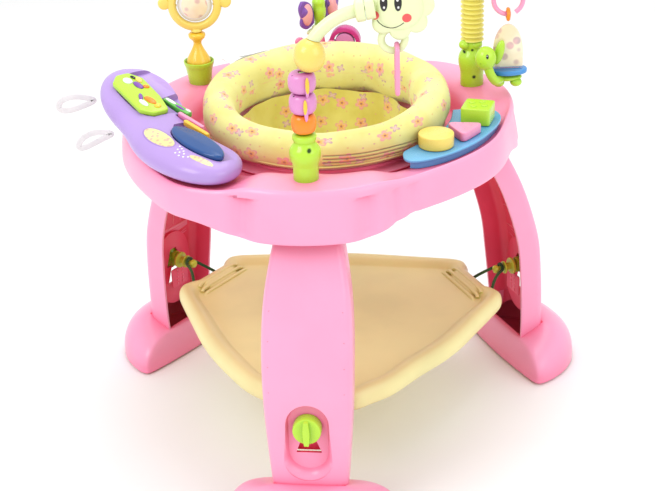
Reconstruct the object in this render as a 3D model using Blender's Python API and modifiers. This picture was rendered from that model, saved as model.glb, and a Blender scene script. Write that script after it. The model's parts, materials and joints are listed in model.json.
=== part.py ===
"""Activity jumper: a round activity tray on three curved legs, a turning
fabric seat in its middle, a height-set bounce platform on elastic cords under
it, and toy stations on its top.  Metres, +Z up.  The parts are laid out round
the seat's axis, then moved so that the origin is on the floor at the middle
of the whole object's footprint.  The front leg points to -Y, the other two to
azimuth 30 and 150 degrees.  Azimuths are in degrees from +X, turning to +Y."""
import math

import bmesh
import bpy
from mathutils import Matrix, Vector

for old in list(bpy.data.objects):
    bpy.data.objects.remove(old, do_unlink=True)

# ---------------------------------------------------------- shared dimensions
LEG_AZIMUTHS = {"front": -90.0, "right": 30.0, "left": 150.0}
FOOTPRINT_MIDDLE = Vector((-0.005, -0.072, 0.0))   # seen from the seat's axis
GAP = 0.0003                     # clearance between touching pieces
UP = Vector((0, 0, 1))

DECK_LOBE_Z = 0.4725             # deck over each leg
DECK_POCKET_Z = 0.4600           # floor of the right pocket

KNOB_Z = 0.1555                  # upper of the two platform height settings
SPOOL_TIP_R = 0.2750             # cord spool's end nearest the seat's axis
RECESS_FLOOR_R = 0.3255          # floor of the knob recess in each leg
FOOT_Z0 = 0.003                  # the rubber pad is under this

PLATFORM_TOP_Z = 0.1530
PLATFORM_BOTTOM_Z = 0.1240

# toy stations on the three lobes; each toy's peg stands in a socket
STATION_R = 0.234
STATION_Z = DECK_LOBE_Z + 0.0005
SOCKET_R = 0.0085
PEG_R = 0.0080
PEG_BOTTOM_Z = 0.4600

# Piece: base colour, roughness.
FINISHES = {
    "tray": ((0.90, 0.28, 0.45), 0.35),
    "leg": ((0.90, 0.28, 0.45), 0.35),
    "foot_pad": ((0.62, 0.16, 0.28), 0.8),
    "cord_spool": ((0.62, 0.66, 0.06), 0.45),
    "height_knob": ((0.45, 0.74, 0.04), 0.35),
    "bounce_platform": ((0.86, 0.74, 0.36), 0.4),
    "elastic_cord": ((0.03, 0.09, 0.02), 0.7),
    "seat_ring": ((0.88, 0.24, 0.42), 0.4),
    "seat_lock_ring": ((0.88, 0.24, 0.42), 0.45),
    "seat_pad": ((0.80, 0.82, 0.36), 0.85),
    "seat_sling": ((0.72, 0.72, 0.22), 0.9),
    "bead_post": ((0.48, 0.80, 0.04), 0.3),
    "bead_orange": ((0.85, 0.18, 0.01), 0.3),
    "bead_pink_lower": ((0.80, 0.32, 0.62), 0.3),
    "bead_pink_upper": ((0.80, 0.32, 0.62), 0.3),
    "arm_ball": ((0.95, 0.80, 0.30), 0.3),
    "curved_arm": ((0.72, 0.82, 0.44), 0.35),
    "daisy_body": ((0.74, 0.84, 0.50), 0.35),
    "daisy_face": ((0.76, 0.86, 0.54), 0.3),
    "daisy_link": ((0.93, 0.50, 0.62), 0.3),
    "spinner_cup": ((0.60, 0.86, 0.06), 0.35),
    "spinner_stem": ((0.95, 0.72, 0.10), 0.35),
    "spinner_frame": ((0.95, 0.80, 0.20), 0.25),
    "spinner_disc": ((0.93, 0.86, 0.72), 0.15),
    "tube_base": ((0.50, 0.80, 0.04), 0.35),
    "bendy_tube": ((0.93, 0.83, 0.28), 0.4),
    "tube_cap": ((0.50, 0.80, 0.04), 0.35),
    "turtle_link": ((0.93, 0.52, 0.68), 0.3),
    "turtle_shell": ((0.93, 0.42, 0.02), 0.3),
    "turtle_rim": ((0.05, 0.32, 0.72), 0.3),
    "turtle_body": ((0.50, 0.80, 0.04), 0.3),
    "block_tray": ((0.10, 0.45, 0.75), 0.3),
    "block_round": ((0.93, 0.76, 0.22), 0.45),
    "block_triangle": ((0.93, 0.40, 0.58), 0.45),
    "block_square": ((0.52, 0.86, 0.08), 0.45),
    "toy_case": ((0.58, 0.42, 0.86), 0.35),
    "key_blue": ((0.02, 0.12, 0.38), 0.2),
    "key_orange": ((0.93, 0.50, 0.05), 0.25),
    "key_pink": ((0.92, 0.40, 0.58), 0.25),
    "key_green": ((0.15, 0.55, 0.10), 0.25),
    "picture_panel": ((0.72, 0.90, 0.35), 0.3),
    "strap_loop": ((0.85, 0.82, 0.82), 0.9),
    "back_toy_base": ((0.90, 0.30, 0.48), 0.35),
    "roller_arch": ((0.55, 0.02, 0.22), 0.3),
    "roller": ((0.55, 0.45, 0.75), 0.3),
    "butterfly_body": ((0.50, 0.80, 0.04), 0.35),
    "butterfly_wing": ((0.20, 0.07, 0.42), 0.3),
}

scene = bpy.context.scene
parts = bpy.data.collections.new("activity_jumper")
cutters = bpy.data.collections.new("cutters")
scene.collection.children.link(parts)
scene.collection.children.link(cutters)


# ------------------------------------------------------- materials and objects
def material(name, colour, roughness):
    mat = bpy.data.materials.new(name)
    mat.use_nodes = True
    shader = mat.node_tree.nodes["Principled BSDF"]
    shader.inputs["Base Color"].default_value = (*colour, 1.0)
    shader.inputs["Roughness"].default_value = roughness
    mat.diffuse_color = (*colour, 1.0)
    return mat


def move_to(obj, collection):
    for old_home in list(obj.users_collection):
        old_home.objects.unlink(obj)
    collection.objects.link(obj)


def finish(obj, kind=None):
    """file the piece, with its own material from the FINISHES entry `kind`"""
    colour, roughness = FINISHES[kind or obj.name]
    move_to(obj, parts)
    obj.data.materials.clear()
    obj.data.materials.append(material(obj.name + "_mat", colour, roughness))
    # turned pieces get their faces, and their smoothing, from the screw
    if obj.data.polygons:
        obj.data.shade_smooth()
        obj.data.set_sharp_from_angle(angle=math.radians(38))


def new_object(name, mesh, matrix=Matrix()):
    obj = bpy.data.objects.new(name, mesh)
    scene.collection.objects.link(obj)
    obj.matrix_basis = matrix
    return obj


def boolean(obj, other, operation="DIFFERENCE"):
    move_to(other, cutters)
    other.display_type = "WIRE"
    other.hide_render = True
    modifier = obj.modifiers.new(operation.lower() + "_" + other.name, "BOOLEAN")
    modifier.operation = operation
    modifier.object = other
    modifier.solver = "EXACT"


def evaluated_mesh(obj):
    depsgraph = bpy.context.evaluated_depsgraph_get()
    depsgraph.update()
    return bpy.data.meshes.new_from_object(obj.evaluated_get(depsgraph))


# ---------------------------------------------------------- points and frames
def polar(radius, azimuth, z=0.0):
    angle = math.radians(azimuth)
    return Vector((radius * math.cos(angle), radius * math.sin(angle), z))


STATION = {key: polar(STATION_R, azimuth) for key, azimuth in LEG_AZIMUTHS.items()}
# the daisy, the spinner and the turtle face 7 degrees off -Y
FACE = polar(1, -83)
SIDE = polar(1, 7)


def axis_frame(origin, direction):
    """local Z along the direction"""
    turn = UP.rotation_difference(Vector(direction))
    return Matrix.Translation(Vector(origin)) @ turn.to_matrix().to_4x4()


def basis_frame(origin, x, y, z):
    return (Matrix.Translation(Vector(origin))
            @ Matrix((x, y, z)).transposed().to_4x4())


def radial_frame(azimuth, radius, z):
    """local Z points away from the seat's axis, local Y up"""
    outward = polar(1, azimuth)
    return basis_frame(polar(radius, azimuth, z), UP.cross(outward), UP, outward)


def turn_z(angle, size=4):
    return Matrix.Rotation(math.radians(angle), size, "Z")


def spread(start, end, count):
    """angles from start to end in count equal steps"""
    return [start + (end - start) * i / count for i in range(count + 1)]


def ellipse(angles, half_x, half_y=None, centre=(0, 0)):
    """points at the given angles in degrees; a circle without half_y"""
    if half_y is None:
        half_y = half_x
    return [(centre[0] + half_x * math.cos(math.radians(angle)),
             centre[1] + half_y * math.sin(math.radians(angle)))
            for angle in angles]


def polygon(radius, count, first_angle):
    return ellipse(spread(first_angle, first_angle + 360, count)[:-1], radius)


def rounded(points, radius, steps=3):
    """fillet each corner of a convex outline"""
    result = []
    for i, point in enumerate(points):
        corner = Vector(point)
        before = (Vector(points[i - 1]) - corner).normalized()
        after = (Vector(points[(i + 1) % len(points)]) - corner).normalized()
        half = math.acos(max(-1, min(1, before.dot(after)))) / 2
        reach = radius / math.tan(half)
        centre = corner + (before + after).normalized() * (radius / math.sin(half))
        start = corner + before * reach - centre
        end = corner + after * reach - centre
        first = math.atan2(start.y, start.x)
        last = math.atan2(end.y, end.x)
        sweep = (last - first + math.pi) % (2 * math.pi) - math.pi
        for k in range(steps + 1):
            angle = first + sweep * k / steps
            result.append((centre.x + radius * math.cos(angle),
                           centre.y + radius * math.sin(angle)))
    return result


def mirror_y(points):
    return [(x, -y) for x, y in reversed(points)]


def close_half(half):
    """whole outline from a half that starts and ends on y = 0"""
    return half + mirror_y(half[1:-1])


def signed_power(value, power):
    return math.copysign(abs(value) ** power, value)


def hermite(x, xs, ys):
    """smooth curve through keys, flat past its ends"""
    if x <= xs[0]:
        return ys[0]
    if x >= xs[-1]:
        return ys[-1]
    last = len(xs) - 1
    i = max(k for k in range(last) if xs[k] <= x)
    span = xs[i + 1] - xs[i]

    def slope(k):
        low, high = max(k - 1, 0), min(k + 1, last)
        return (ys[high] - ys[low]) / (xs[high] - xs[low])
    t = (x - xs[i]) / span
    return ((2 * t**3 - 3 * t**2 + 1) * ys[i]
            + (t**3 - 2 * t**2 + t) * (slope(i) * span)
            + (-2 * t**3 + 3 * t**2) * ys[i + 1]
            + (t**3 - t**2) * (slope(i + 1) * span))


def smoothstep(x, start, end):
    t = min(1.0, max(0.0, (x - start) / (end - start)))
    return t * t * (3 - 2 * t)


def window(azimuth, start, end, ramp):
    """1 between start and end (degrees, start < end), falling to 0 over ramp"""
    middle, half = (start + end) / 2, (end - start) / 2
    distance = abs((azimuth - middle + 180) % 360 - 180)
    return 1 - smoothstep(distance, half, half + ramp)


# --------------------------------------------------------------------- solids
def face_outward(work):
    bmesh.ops.recalc_face_normals(work, faces=work.faces)
    if work.calc_volume(signed=True) < 0:
        bmesh.ops.reverse_faces(work, faces=work.faces)


def from_bmesh(name, work, matrix=Matrix()):
    mesh = bpy.data.meshes.new(name)
    work.to_mesh(mesh)
    work.free()
    return new_object(name, mesh, matrix)


def rod_profile(radius, top, bottom):
    return [(0, top), (radius, top), (radius, bottom), (0, bottom)]


def turned(name, profile, matrix=Matrix(), steps=16, closed=False):
    """profile: (radius, height) running down the outer side"""
    mesh = bpy.data.meshes.new(name)
    count = len(profile)
    edges = [(i, i + 1) for i in range(count - 1)]
    if closed:
        edges.append((count - 1, 0))
    mesh.from_pydata([(radius, 0.0, z) for radius, z in profile], edges, [])
    obj = new_object(name, mesh, matrix)
    screw = obj.modifiers.new("turn", "SCREW")
    screw.axis = "Z"
    screw.angle = 2 * math.pi
    screw.steps = screw.render_steps = steps
    screw.use_merge_vertices = True
    screw.merge_threshold = 0.00001
    screw.use_smooth_shade = True
    return obj


def loft(name, rings, origin=(0, 0, 0), closed=False):
    """closed loops of equal vertex count, joined in order"""
    work = bmesh.new()
    loops = [[work.verts.new(point) for point in ring] for ring in rings]
    count = len(rings[0])
    pairs = list(zip(loops, loops[1:]))
    if closed:
        pairs.append((loops[-1], loops[0]))
    for lower, upper in pairs:
        for i in range(count):
            j = (i + 1) % count
            work.faces.new((lower[i], lower[j], upper[j], upper[i]))
    if not closed:
        work.faces.new(loops[0])
        work.faces.new(list(reversed(loops[-1])))
    face_outward(work)
    bmesh.ops.translate(work, verts=work.verts, vec=-Vector(origin))
    return from_bmesh(name, work, Matrix.Translation(origin))


def add_spline(curve, points, cyclic):
    spline = curve.splines.new("POLY")
    spline.points.add(len(points) - 1)
    for target, point in zip(spline.points, points):
        target.co = (*point, 1)
    spline.use_cyclic_u = cyclic


def curve_to_mesh(name, curve, matrix):
    holder = new_object(name + "_curve", curve, matrix)
    mesh = evaluated_mesh(holder)
    bpy.data.objects.remove(holder, do_unlink=True)
    work = bmesh.new()
    work.from_mesh(mesh)
    bmesh.ops.remove_doubles(work, verts=work.verts, dist=0.00001)
    face_outward(work)
    work.to_mesh(mesh)
    work.free()
    mesh.name = name
    return new_object(name, mesh, matrix)


def plate(name, outline, bottom, top, matrix=Matrix(), bevel=0.0, bevel_steps=0):
    """flat closed outline in local XY, thick from bottom to top"""
    curve = bpy.data.curves.new(name, "CURVE")
    curve.dimensions = "2D"
    curve.fill_mode = "BOTH"
    add_spline(curve, [(x, y, 0) for x, y in outline], cyclic=True)
    curve.extrude = (top - bottom) / 2 - bevel
    curve.bevel_depth = bevel
    curve.bevel_resolution = bevel_steps
    curve.offset = -bevel
    middle = Matrix.Translation((0, 0, (bottom + top) / 2))
    return curve_to_mesh(name, curve, matrix @ middle)


def tube(name, points, radius, matrix=Matrix(), cyclic=False, steps=1,
         origin=(0, 0, 0), extrude=0.0):
    """round tube along the points; extrude flattens it to a ribbon"""
    curve = bpy.data.curves.new(name, "CURVE")
    curve.dimensions = "3D"
    curve.bevel_depth = radius
    curve.bevel_resolution = steps
    curve.extrude = extrude
    curve.use_fill_caps = True
    origin = Vector(origin)
    add_spline(curve, [Vector(point) - origin for point in points], cyclic)
    return curve_to_mesh(name, curve, matrix @ Matrix.Translation(origin))


def ellipsoid(name, matrix, radii, around=16, down=10):
    work = bmesh.new()
    bmesh.ops.create_uvsphere(work, u_segments=around, v_segments=down, radius=1.0)
    bmesh.ops.scale(work, verts=work.verts, vec=Vector(radii))
    return from_bmesh(name, work, matrix)


def box(name, low, high, matrix):
    low, high = Vector(low), Vector(high)
    work = bmesh.new()
    bmesh.ops.create_cube(work, size=1.0)
    bmesh.ops.scale(work, verts=work.verts, vec=high - low)
    return from_bmesh(name, work, matrix @ Matrix.Translation((low + high) / 2))


# ----------------------------------------------------------------------- tray
SKIRT_LOBE_Z = 0.402             # lower edge of the skirt at the lobes
SKIRT_BETWEEN_Z = 0.418          # lower edge of the skirt between the lobes
RIGHT_LIP_Z = 0.4690             # lip outside the right pocket
LEFT_DECK_Z = 0.4575             # floor of the left pocket
LEFT_LIP_Z = 0.4630              # lip outside it
DECK_BACK_Z = 0.4680             # deck behind the seat
DECK_INNER_R = 0.2050            # where the deck drops to the well
WELL_Z = 0.4400                  # floor of the well round the seat
HOLE_R = 0.152                   # hole the seat turns in
HOLE_COLLAR_Z = 0.405            # lower edge of the hole's collar
TRAY_WALL = 0.0035
TRAY_SEGMENTS = 54
# plan of the skirt's lower edge: azimuth, radius
TRAY_PLAN = [
    (-180, 0.297), (-170, 0.295), (-160, 0.290), (-150, 0.288),
    (-141, 0.289), (-131, 0.295), (-125, 0.298), (-119, 0.290),
    (-115, 0.285), (-109, 0.287), (-102, 0.290), (-91, 0.290),
    (-84, 0.288), (-77, 0.284), (-71, 0.278), (-65, 0.266),
    (-58, 0.256), (-50, 0.2535), (-42, 0.2535), (-33, 0.256),
    (-23, 0.260), (-12, 0.262), (-3, 0.262), (3, 0.268), (9, 0.279),
    (16, 0.287), (24, 0.291), (30, 0.291), (42, 0.291), (50, 0.287),
    (57, 0.276), (64, 0.262), (72, 0.255), (81, 0.253), (90, 0.252),
    (99, 0.253), (108, 0.255), (116, 0.262), (123, 0.276),
    (130, 0.287), (140, 0.292), (150, 0.293), (161, 0.295), (171, 0.297)]
# the plan run on past both ends, so that it is smooth where it closes
PLAN_AZIMUTHS, PLAN_RADII = zip(
    *[(azimuth - 360, radius) for azimuth, radius in TRAY_PLAN[-2:]],
    *TRAY_PLAN,
    *[(azimuth + 360, radius) for azimuth, radius in TRAY_PLAN[:2]])


def deck_heights(azimuth):
    """height of the outer lip, height of the deck inside it"""
    left = window(azimuth, -158, -112, 4)
    right = window(azimuth, -60, 8, 5)
    back = window(azimuth, 72, 108, 10)
    lip = (DECK_LOBE_Z + (RIGHT_LIP_Z - DECK_LOBE_Z) * right
           + (LEFT_LIP_Z - DECK_LOBE_Z) * left)
    deck = (DECK_LOBE_Z + (DECK_POCKET_Z - DECK_LOBE_Z) * right
            + (LEFT_DECK_Z - DECK_LOBE_Z) * left)
    back_drop = (DECK_BACK_Z - DECK_LOBE_Z) * back
    return lip + back_drop, deck + back_drop


def skirt(azimuth):
    """height of the lower edge, inward lean of the wall"""
    lobe = max(window(azimuth, leg - 18, leg + 18, 14)
               for leg in LEG_AZIMUTHS.values())
    edge_z = SKIRT_BETWEEN_Z + (SKIRT_LOBE_Z - SKIRT_BETWEEN_Z) * lobe
    return edge_z, 0.004 + 0.006 * lobe


def tray_section(azimuth):
    """closed section: along the top from the skirt to the hole, back below"""
    edge_r = hermite((azimuth + 180) % 360 - 180, PLAN_AZIMUTHS, PLAN_RADII)
    edge_z, lean = skirt(azimuth)
    rim_r = edge_r - lean
    lip, deck = deck_heights(azimuth)
    deck_r, inner_r = rim_r - 0.0100, DECK_INNER_R
    under_deck_r, under_inner_r = deck_r - 0.0005, inner_r + 0.0012
    mid_r, mid_z = edge_r - lean * 0.4, edge_z + 0.024
    top = [(edge_r, edge_z), (mid_r, mid_z), (rim_r, 0.4530),
           (rim_r - 0.0025, lip - 0.0045), (rim_r - 0.0070, lip),
           (deck_r, deck), (deck_r + (inner_r - deck_r) * 0.5, deck),
           (inner_r, deck), (0.1935, WELL_Z + 0.005), (0.1880, WELL_Z),
           (HOLE_R + 0.004, WELL_Z), (HOLE_R, WELL_Z - 0.003),
           (HOLE_R, HOLE_COLLAR_Z)]
    under_z = deck - TRAY_WALL
    under = [(HOLE_R + TRAY_WALL, HOLE_COLLAR_Z),
             (HOLE_R + TRAY_WALL, WELL_Z - TRAY_WALL - 0.001),
             (0.1885, WELL_Z - TRAY_WALL), (0.1965, WELL_Z + 0.0025),
             (under_inner_r, under_z),
             (under_deck_r + (under_inner_r - under_deck_r) * 0.5, under_z),
             (under_deck_r, under_z),
             (rim_r - 0.0060, min(lip, deck + 0.005) - 0.0060),
             (rim_r - TRAY_WALL, 0.4510), (mid_r - TRAY_WALL, mid_z),
             (edge_r - TRAY_WALL, edge_z)]
    return [polar(radius, azimuth, z) for radius, z in top + under]


def build_tray():
    tray = loft("tray", [tray_section(-180 + 360 * i / TRAY_SEGMENTS)
                         for i in range(TRAY_SEGMENTS)], closed=True)
    for key, spot in STATION.items():
        # turned so that the socket's flats miss the tray's own edges
        frame = Matrix.Translation((spot.x, spot.y, 0)) @ turn_z(11)
        boolean(tray, turned("socket_" + key, rod_profile(SOCKET_R, 0.49, 0.44),
                             frame, steps=10))
    finish(tray)


# ----------------------------------------------------------------------- legs
LEG_DEPTH = 0.043
LEG_WALL = 0.0040
# height, radius of the open inner edge, half width
LEG_KEYS = [
    (0.020, 0.2990, 0.0470), (0.070, 0.2980, 0.0520), (0.120, 0.2950, 0.0560),
    (0.170, 0.2908, 0.0592), (0.220, 0.2850, 0.0607), (0.270, 0.2715, 0.0608),
    (0.320, 0.2540, 0.0580), (0.370, 0.2315, 0.0500), (0.415, 0.2100, 0.0400),
    (0.440, 0.2065, 0.0380), (0.4685, 0.2065, 0.0370)]
KEY_HEIGHTS, KEY_RADII, KEY_HALF_WIDTHS = zip(*LEG_KEYS)
# heights of the leg's cross-sections
LEG_STATIONS = [0.045, 0.090, 0.150, 0.210, 0.260, 0.305, 0.345, 0.380,
                0.415, 0.440, 0.4685]
FOOT_EDGE_Z = 0.012              # top of the foot's upright edge
FOOT_WALL = 0.0034
FOOT_MIDDLE_R = 0.335            # the foot's plan shrinks about this radius
PAD_MIDDLE_R = 0.338             # and the rubber pad's about this one
# foot plan, half: distance out from the seat's axis, distance sideways
FOOT_PLAN = [
    (0.2830, 0.000), (0.2842, 0.040), (0.2868, 0.080), (0.2905, 0.108),
    (0.2965, 0.1155), (0.3110, 0.1150), (0.3320, 0.1080), (0.3560, 0.0950),
    (0.3790, 0.0740), (0.3960, 0.0460), (0.4035, 0.0200), (0.4045, 0.000)]

# racetrack outlines of the knob recess: half width, lower end, upper end
RECESS_FLOOR = (0.0265, 0.0885, 0.1875)
RECESS_MOUTH = (0.0335, 0.0765, 0.1985)
RECESS_STEPS = 6
KNOB_STEP = 0.0300               # drop from the upper height to the lower


def leg_radius(z):
    return hermite(z, KEY_HEIGHTS, KEY_RADII)


def leg_half_width(z):
    return hermite(z, KEY_HEIGHTS, KEY_HALF_WIDTHS)


def leg_section(z):
    """channel section, open towards the seat's axis"""
    inner_r, half = leg_radius(z), leg_half_width(z)
    outer_r = inner_r + LEG_DEPTH
    outside = [(inner_r, -half), (outer_r - 0.013, -half),
               (outer_r - 0.004, -0.92 * half), (outer_r - 0.0003, -0.55 * half)]
    inside = [(inner_r, half - LEG_WALL), (outer_r - 0.014, half - LEG_WALL),
              (outer_r - 0.0003 - LEG_WALL, 0.80 * half)]
    outline = outside + mirror_y(outside) + inside + mirror_y(inside)
    return [Vector((x, y, z)) for x, y in outline]


def foot_rings(inset, floor_z):
    """plan at the floor, bulging up to the leg's outline"""
    plan = close_half([(FOOT_MIDDLE_R + (x - FOOT_MIDDLE_R) * (1 - inset / 0.055),
                        y * (1 - inset / 0.11)) for x, y in FOOT_PLAN])
    inner_r = leg_radius(0.06) - 0.0010 + inset
    half = leg_half_width(0.08) + 0.0010 - inset
    outer_r = inner_r + LEG_DEPTH + 0.0030 - 2 * inset
    leg = close_half([
        (inner_r, 0), (inner_r, 0.35 * half), (inner_r, 0.7 * half),
        (inner_r, 0.93 * half), (inner_r + 0.003, half), (inner_r + 0.012, half),
        (inner_r + 0.024, half), (outer_r - 0.009, 0.97 * half),
        (outer_r - 0.003, 0.85 * half), (outer_r - 0.0005, 0.55 * half),
        (outer_r, 0.3 * half), (outer_r, 0)])
    rings = [[Vector((x, y, floor_z)) for x, y in plan]]
    for rise in (0.0, 0.40, 0.72, 0.93, 1.0):
        spread_out = math.sqrt(max(0.0, 1 - rise * rise))
        ring = []
        for (plan_x, plan_y), (leg_x, leg_y) in zip(plan, leg):
            # the join with the leg climbs 20 mm over 44 mm outward
            top = 0.0512 + (leg_x - 0.2975) / 0.044 * 0.020 - inset
            ring.append(Vector((leg_x + (plan_x - leg_x) * spread_out,
                                leg_y + (plan_y - leg_y) * spread_out,
                                FOOT_EDGE_Z + (top - FOOT_EDGE_Z) * rise)))
        rings.append(ring)
    return rings


def foot_hollow():
    """inside of the foot, carried up into the leg"""
    floor_z = FOOT_Z0 + 0.003
    neck = foot_rings(0.0042, floor_z)[-1]
    return loft("foot_hollow", foot_rings(FOOT_WALL, floor_z)
                + [[Vector((point.x, point.y, 0.085)) for point in neck]])


def racetrack(half, low, high, steps=5):
    """upright outline in (sideways, up) with round ends"""
    return (ellipse(spread(0, 180, steps), half, centre=(0, high - half))
            + ellipse(spread(180, 360, steps), half, centre=(0, low + half)))


def grown(shape, sideways, endways):
    half, low, high = shape
    return half + sideways, low - endways, high + endways


def knob_housing(frame):
    """raised wall round the knob recess, kept to the inside of the leg"""
    house = plate("knob_housing", racetrack(*grown(RECESS_MOUTH, 0.0042, 0.0035)),
                  0.3215, 0.3450, frame)
    rings = []
    for z in (0.058, 0.100, 0.150, 0.220):
        near = leg_radius(z) + 0.01
        far = leg_radius(z) + LEG_DEPTH - 0.0015
        rings.append([Vector((x, y, z)) for x, y in
                      ((near, -0.045), (far, -0.045), (far, 0.045), (near, 0.045))])
    body = loft("leg_body", rings)
    boolean(house, body, "INTERSECT")
    return house, body


def knob_recess(frame):
    """recess cutter, narrowing from its mouth to its floor"""
    recess = loft("knob_recess", [
        [frame @ Vector((x, y, radius)) for x, y in racetrack(*shape, RECESS_STEPS)]
        for radius, shape in ((RECESS_FLOOR_R, RECESS_FLOOR),
                              (0.3385, RECESS_MOUTH),
                              (0.3720, grown(RECESS_MOUTH, 0.0010, 0.0010)))])
    # part the floor down its middle, between the tops of the two end arcs
    work = bmesh.new()
    work.from_mesh(recess.data)
    work.verts.ensure_lookup_table()
    top = work.verts[RECESS_STEPS // 2]
    bottom = work.verts[RECESS_STEPS + 1 + RECESS_STEPS // 2]
    face = next(face for face in top.link_faces if bottom in face.verts)
    bmesh.utils.face_split(face, top, bottom)
    work.to_mesh(recess.data)
    work.free()
    return recess


def slot_outline():
    """two keyholes, one for each height, joined by a neck"""
    right = []
    for k in range(2):
        z = KNOB_Z - k * KNOB_STEP
        right += [(0.0065, z + 0.0165), (0.0175, z - 0.0125), (0.0065, z - 0.0125)]
    right.pop()
    return right + [(-x, z) for x, z in reversed(right)]


def leg_pattern_mesh():
    """one leg with its foot, along +X; the three legs are turned copies of it"""
    frame = radial_frame(0.0, 0.0, 0.0)
    leg = loft("leg_pattern", [leg_section(z) for z in LEG_STATIONS])
    foot = loft("foot_pattern", foot_rings(0.0, FOOT_Z0))
    hollow = foot_hollow()
    house, body = knob_housing(frame)
    recess = knob_recess(frame)
    slot = plate("height_slot", slot_outline(), 0.310, 0.345, frame)
    boolean(leg, foot, "UNION")
    boolean(leg, hollow)
    boolean(leg, house, "UNION")
    boolean(leg, slot)
    boolean(leg, recess)
    mesh = evaluated_mesh(leg)
    for obj in (leg, foot, hollow, house, body, recess, slot):
        bpy.data.objects.remove(obj, do_unlink=True)
    work = bmesh.new()
    work.from_mesh(mesh)
    many_sided = [face for face in work.faces if len(face.verts) > 4]
    bmesh.ops.triangulate(work, faces=many_sided, ngon_method="BEAUTY")
    work.to_mesh(mesh)
    work.free()
    return mesh


def build_legs():
    mesh = leg_pattern_mesh()
    pad_outline = close_half([(PAD_MIDDLE_R + (x - PAD_MIDDLE_R) * 0.80, y * 0.84)
                              for x, y in FOOT_PLAN])
    for key, azimuth in LEG_AZIMUTHS.items():
        turn = turn_z(azimuth)
        finish(new_object("leg_" + key, mesh.copy(), turn), "leg")
        finish(plate("foot_pad_" + key, pad_outline, 0.0, FOOT_Z0 - GAP, turn),
               "foot_pad")


# ------------------------------------------------ height knobs and cord spools
KNOB_R = 0.0195
KNOB_BACK_R = RECESS_FLOOR_R + 0.0006
KNOB_FACE_R = 0.3490
KNOB_DEPTH = KNOB_FACE_R - KNOB_BACK_R
SHAFT_R = 0.0046
# radius, distance out from the spool's tip
SPOOL_PROFILE = [
    (0, 0.0345), (0.0130, 0.0345), (0.0130, 0.0305), (0.0060, 0.0300),
    (0.0060, 0.0210), (0.0100, 0.0205), (0.0100, 0.0180), (0.0040, 0.0175),
    (0.0040, 0.0090), (0.0068, 0.0065), (0.0060, 0.0015), (0, 0.0)]
RIB_OUTLINE = [(-0.0032, -0.0180), (0.0032, -0.0180), (0.0052, 0.0),
               (0.0032, 0.0180), (-0.0032, 0.0180), (-0.0052, 0.0)]


def build_spool(key, azimuth):
    spool = turned("cord_spool_" + key, SPOOL_PROFILE,
                   radial_frame(azimuth, SPOOL_TIP_R, KNOB_Z), steps=10)
    finish(spool, "cord_spool")


def build_knob(key, azimuth):
    """the knob turns; its shaft runs through the slot to a lock cam"""
    frame = radial_frame(azimuth, KNOB_BACK_R, KNOB_Z)
    knob = turned("height_knob_" + key,
                  [(0, KNOB_DEPTH - 0.006), (KNOB_R - 0.0020, KNOB_DEPTH - 0.006),
                   (KNOB_R, KNOB_DEPTH - 0.008), (KNOB_R, 0.0), (SHAFT_R, 0.0),
                   (SHAFT_R, -0.0155), (0, -0.0155)], frame, steps=18)
    rib = plate("knob_rib_" + key, RIB_OUTLINE, KNOB_DEPTH - 0.010, KNOB_DEPTH, frame)
    cam = box("knob_cam_" + key, (-0.0052, -0.0110, -0.0120),
              (0.0052, 0.0110, -0.0050), frame)
    boolean(knob, rib, "UNION")
    boolean(knob, cam, "UNION")
    finish(knob, "height_knob")


# ------------------------------------------------------------------- platform
PLATFORM_SCALE = 1.018
CORNER_BLEND = 0.006             # softness of the corner between end and side
# angles off a leg's azimuth at which the outline has points
PLATFORM_ANGLES = [0, 7.5, 10.5, 13, 15, 18, 25, 36, 48]
# section: inset from the outline, height
PLATFORM_SECTION = [
    (0.120, PLATFORM_TOP_Z - 0.011), (0.032, PLATFORM_TOP_Z - 0.011),
    (0.021, PLATFORM_TOP_Z - 0.001), (0.011, PLATFORM_TOP_Z),
    (0.003, PLATFORM_TOP_Z - 0.005), (0.000, PLATFORM_BOTTOM_Z + 0.009),
    (0.005, PLATFORM_BOTTOM_Z), (0.012, PLATFORM_BOTTOM_Z),
    (0.024, PLATFORM_TOP_Z - 0.0150), (0.120, PLATFORM_TOP_Z - 0.0145)]


def side_radius(angle):
    """bowed side between two chopped ends"""
    return (0.1806 / math.cos(math.radians(60 - angle))
            + 0.020 * (1 - ((60 - angle) / 46.0) ** 2))


def corner_radius(angle):
    """rounded corner between the chopped end and the side"""
    end = 0.2510 / math.cos(math.radians(angle))
    blend = -CORNER_BLEND * math.log(math.exp(-end / CORNER_BLEND)
                                     + math.exp(-side_radius(angle) / CORNER_BLEND))
    return blend + 0.0035 * smoothstep(angle, 10.5, 13)


def platform_radius(angle):
    """unscaled outline radius at an angle of 0 to 60 off a leg's azimuth"""
    if angle < 10.5:
        notch = 0.2430 / math.cos(math.radians(angle))
        return notch + (0.2545 - notch) * smoothstep(angle, 7.5, 10.5)
    if angle < 17:
        return corner_radius(angle)
    excess = corner_radius(17) - side_radius(17)
    return side_radius(angle) + excess * (1 - smoothstep(angle, 17, 40))


def platform_ring(inset, z):
    angles = [-angle for angle in reversed(PLATFORM_ANGLES[1:])]
    angles += PLATFORM_ANGLES + [60]
    return [polar(PLATFORM_SCALE * platform_radius(abs(angle)) - inset,
                  azimuth + angle, z)
            for azimuth in LEG_AZIMUTHS.values() for angle in angles]


def build_platform():
    finish(loft("bounce_platform",
                [platform_ring(inset, z) for inset, z in PLATFORM_SECTION],
                origin=(0, 0, PLATFORM_BOTTOM_Z)))


# -------------------------------------------------------------- elastic cords
CORD_R = 0.0024
CORD_LOOP_R = 0.0070
CORD_LOOP_Z = KNOB_Z + 0.0005
CORD_NECK_R = SPOOL_TIP_R + 0.0133
CORD_EYE_R = 0.2520              # near the platform's chopped end
CORD_EYE_Z = PLATFORM_BOTTOM_Z + 0.004
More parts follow.
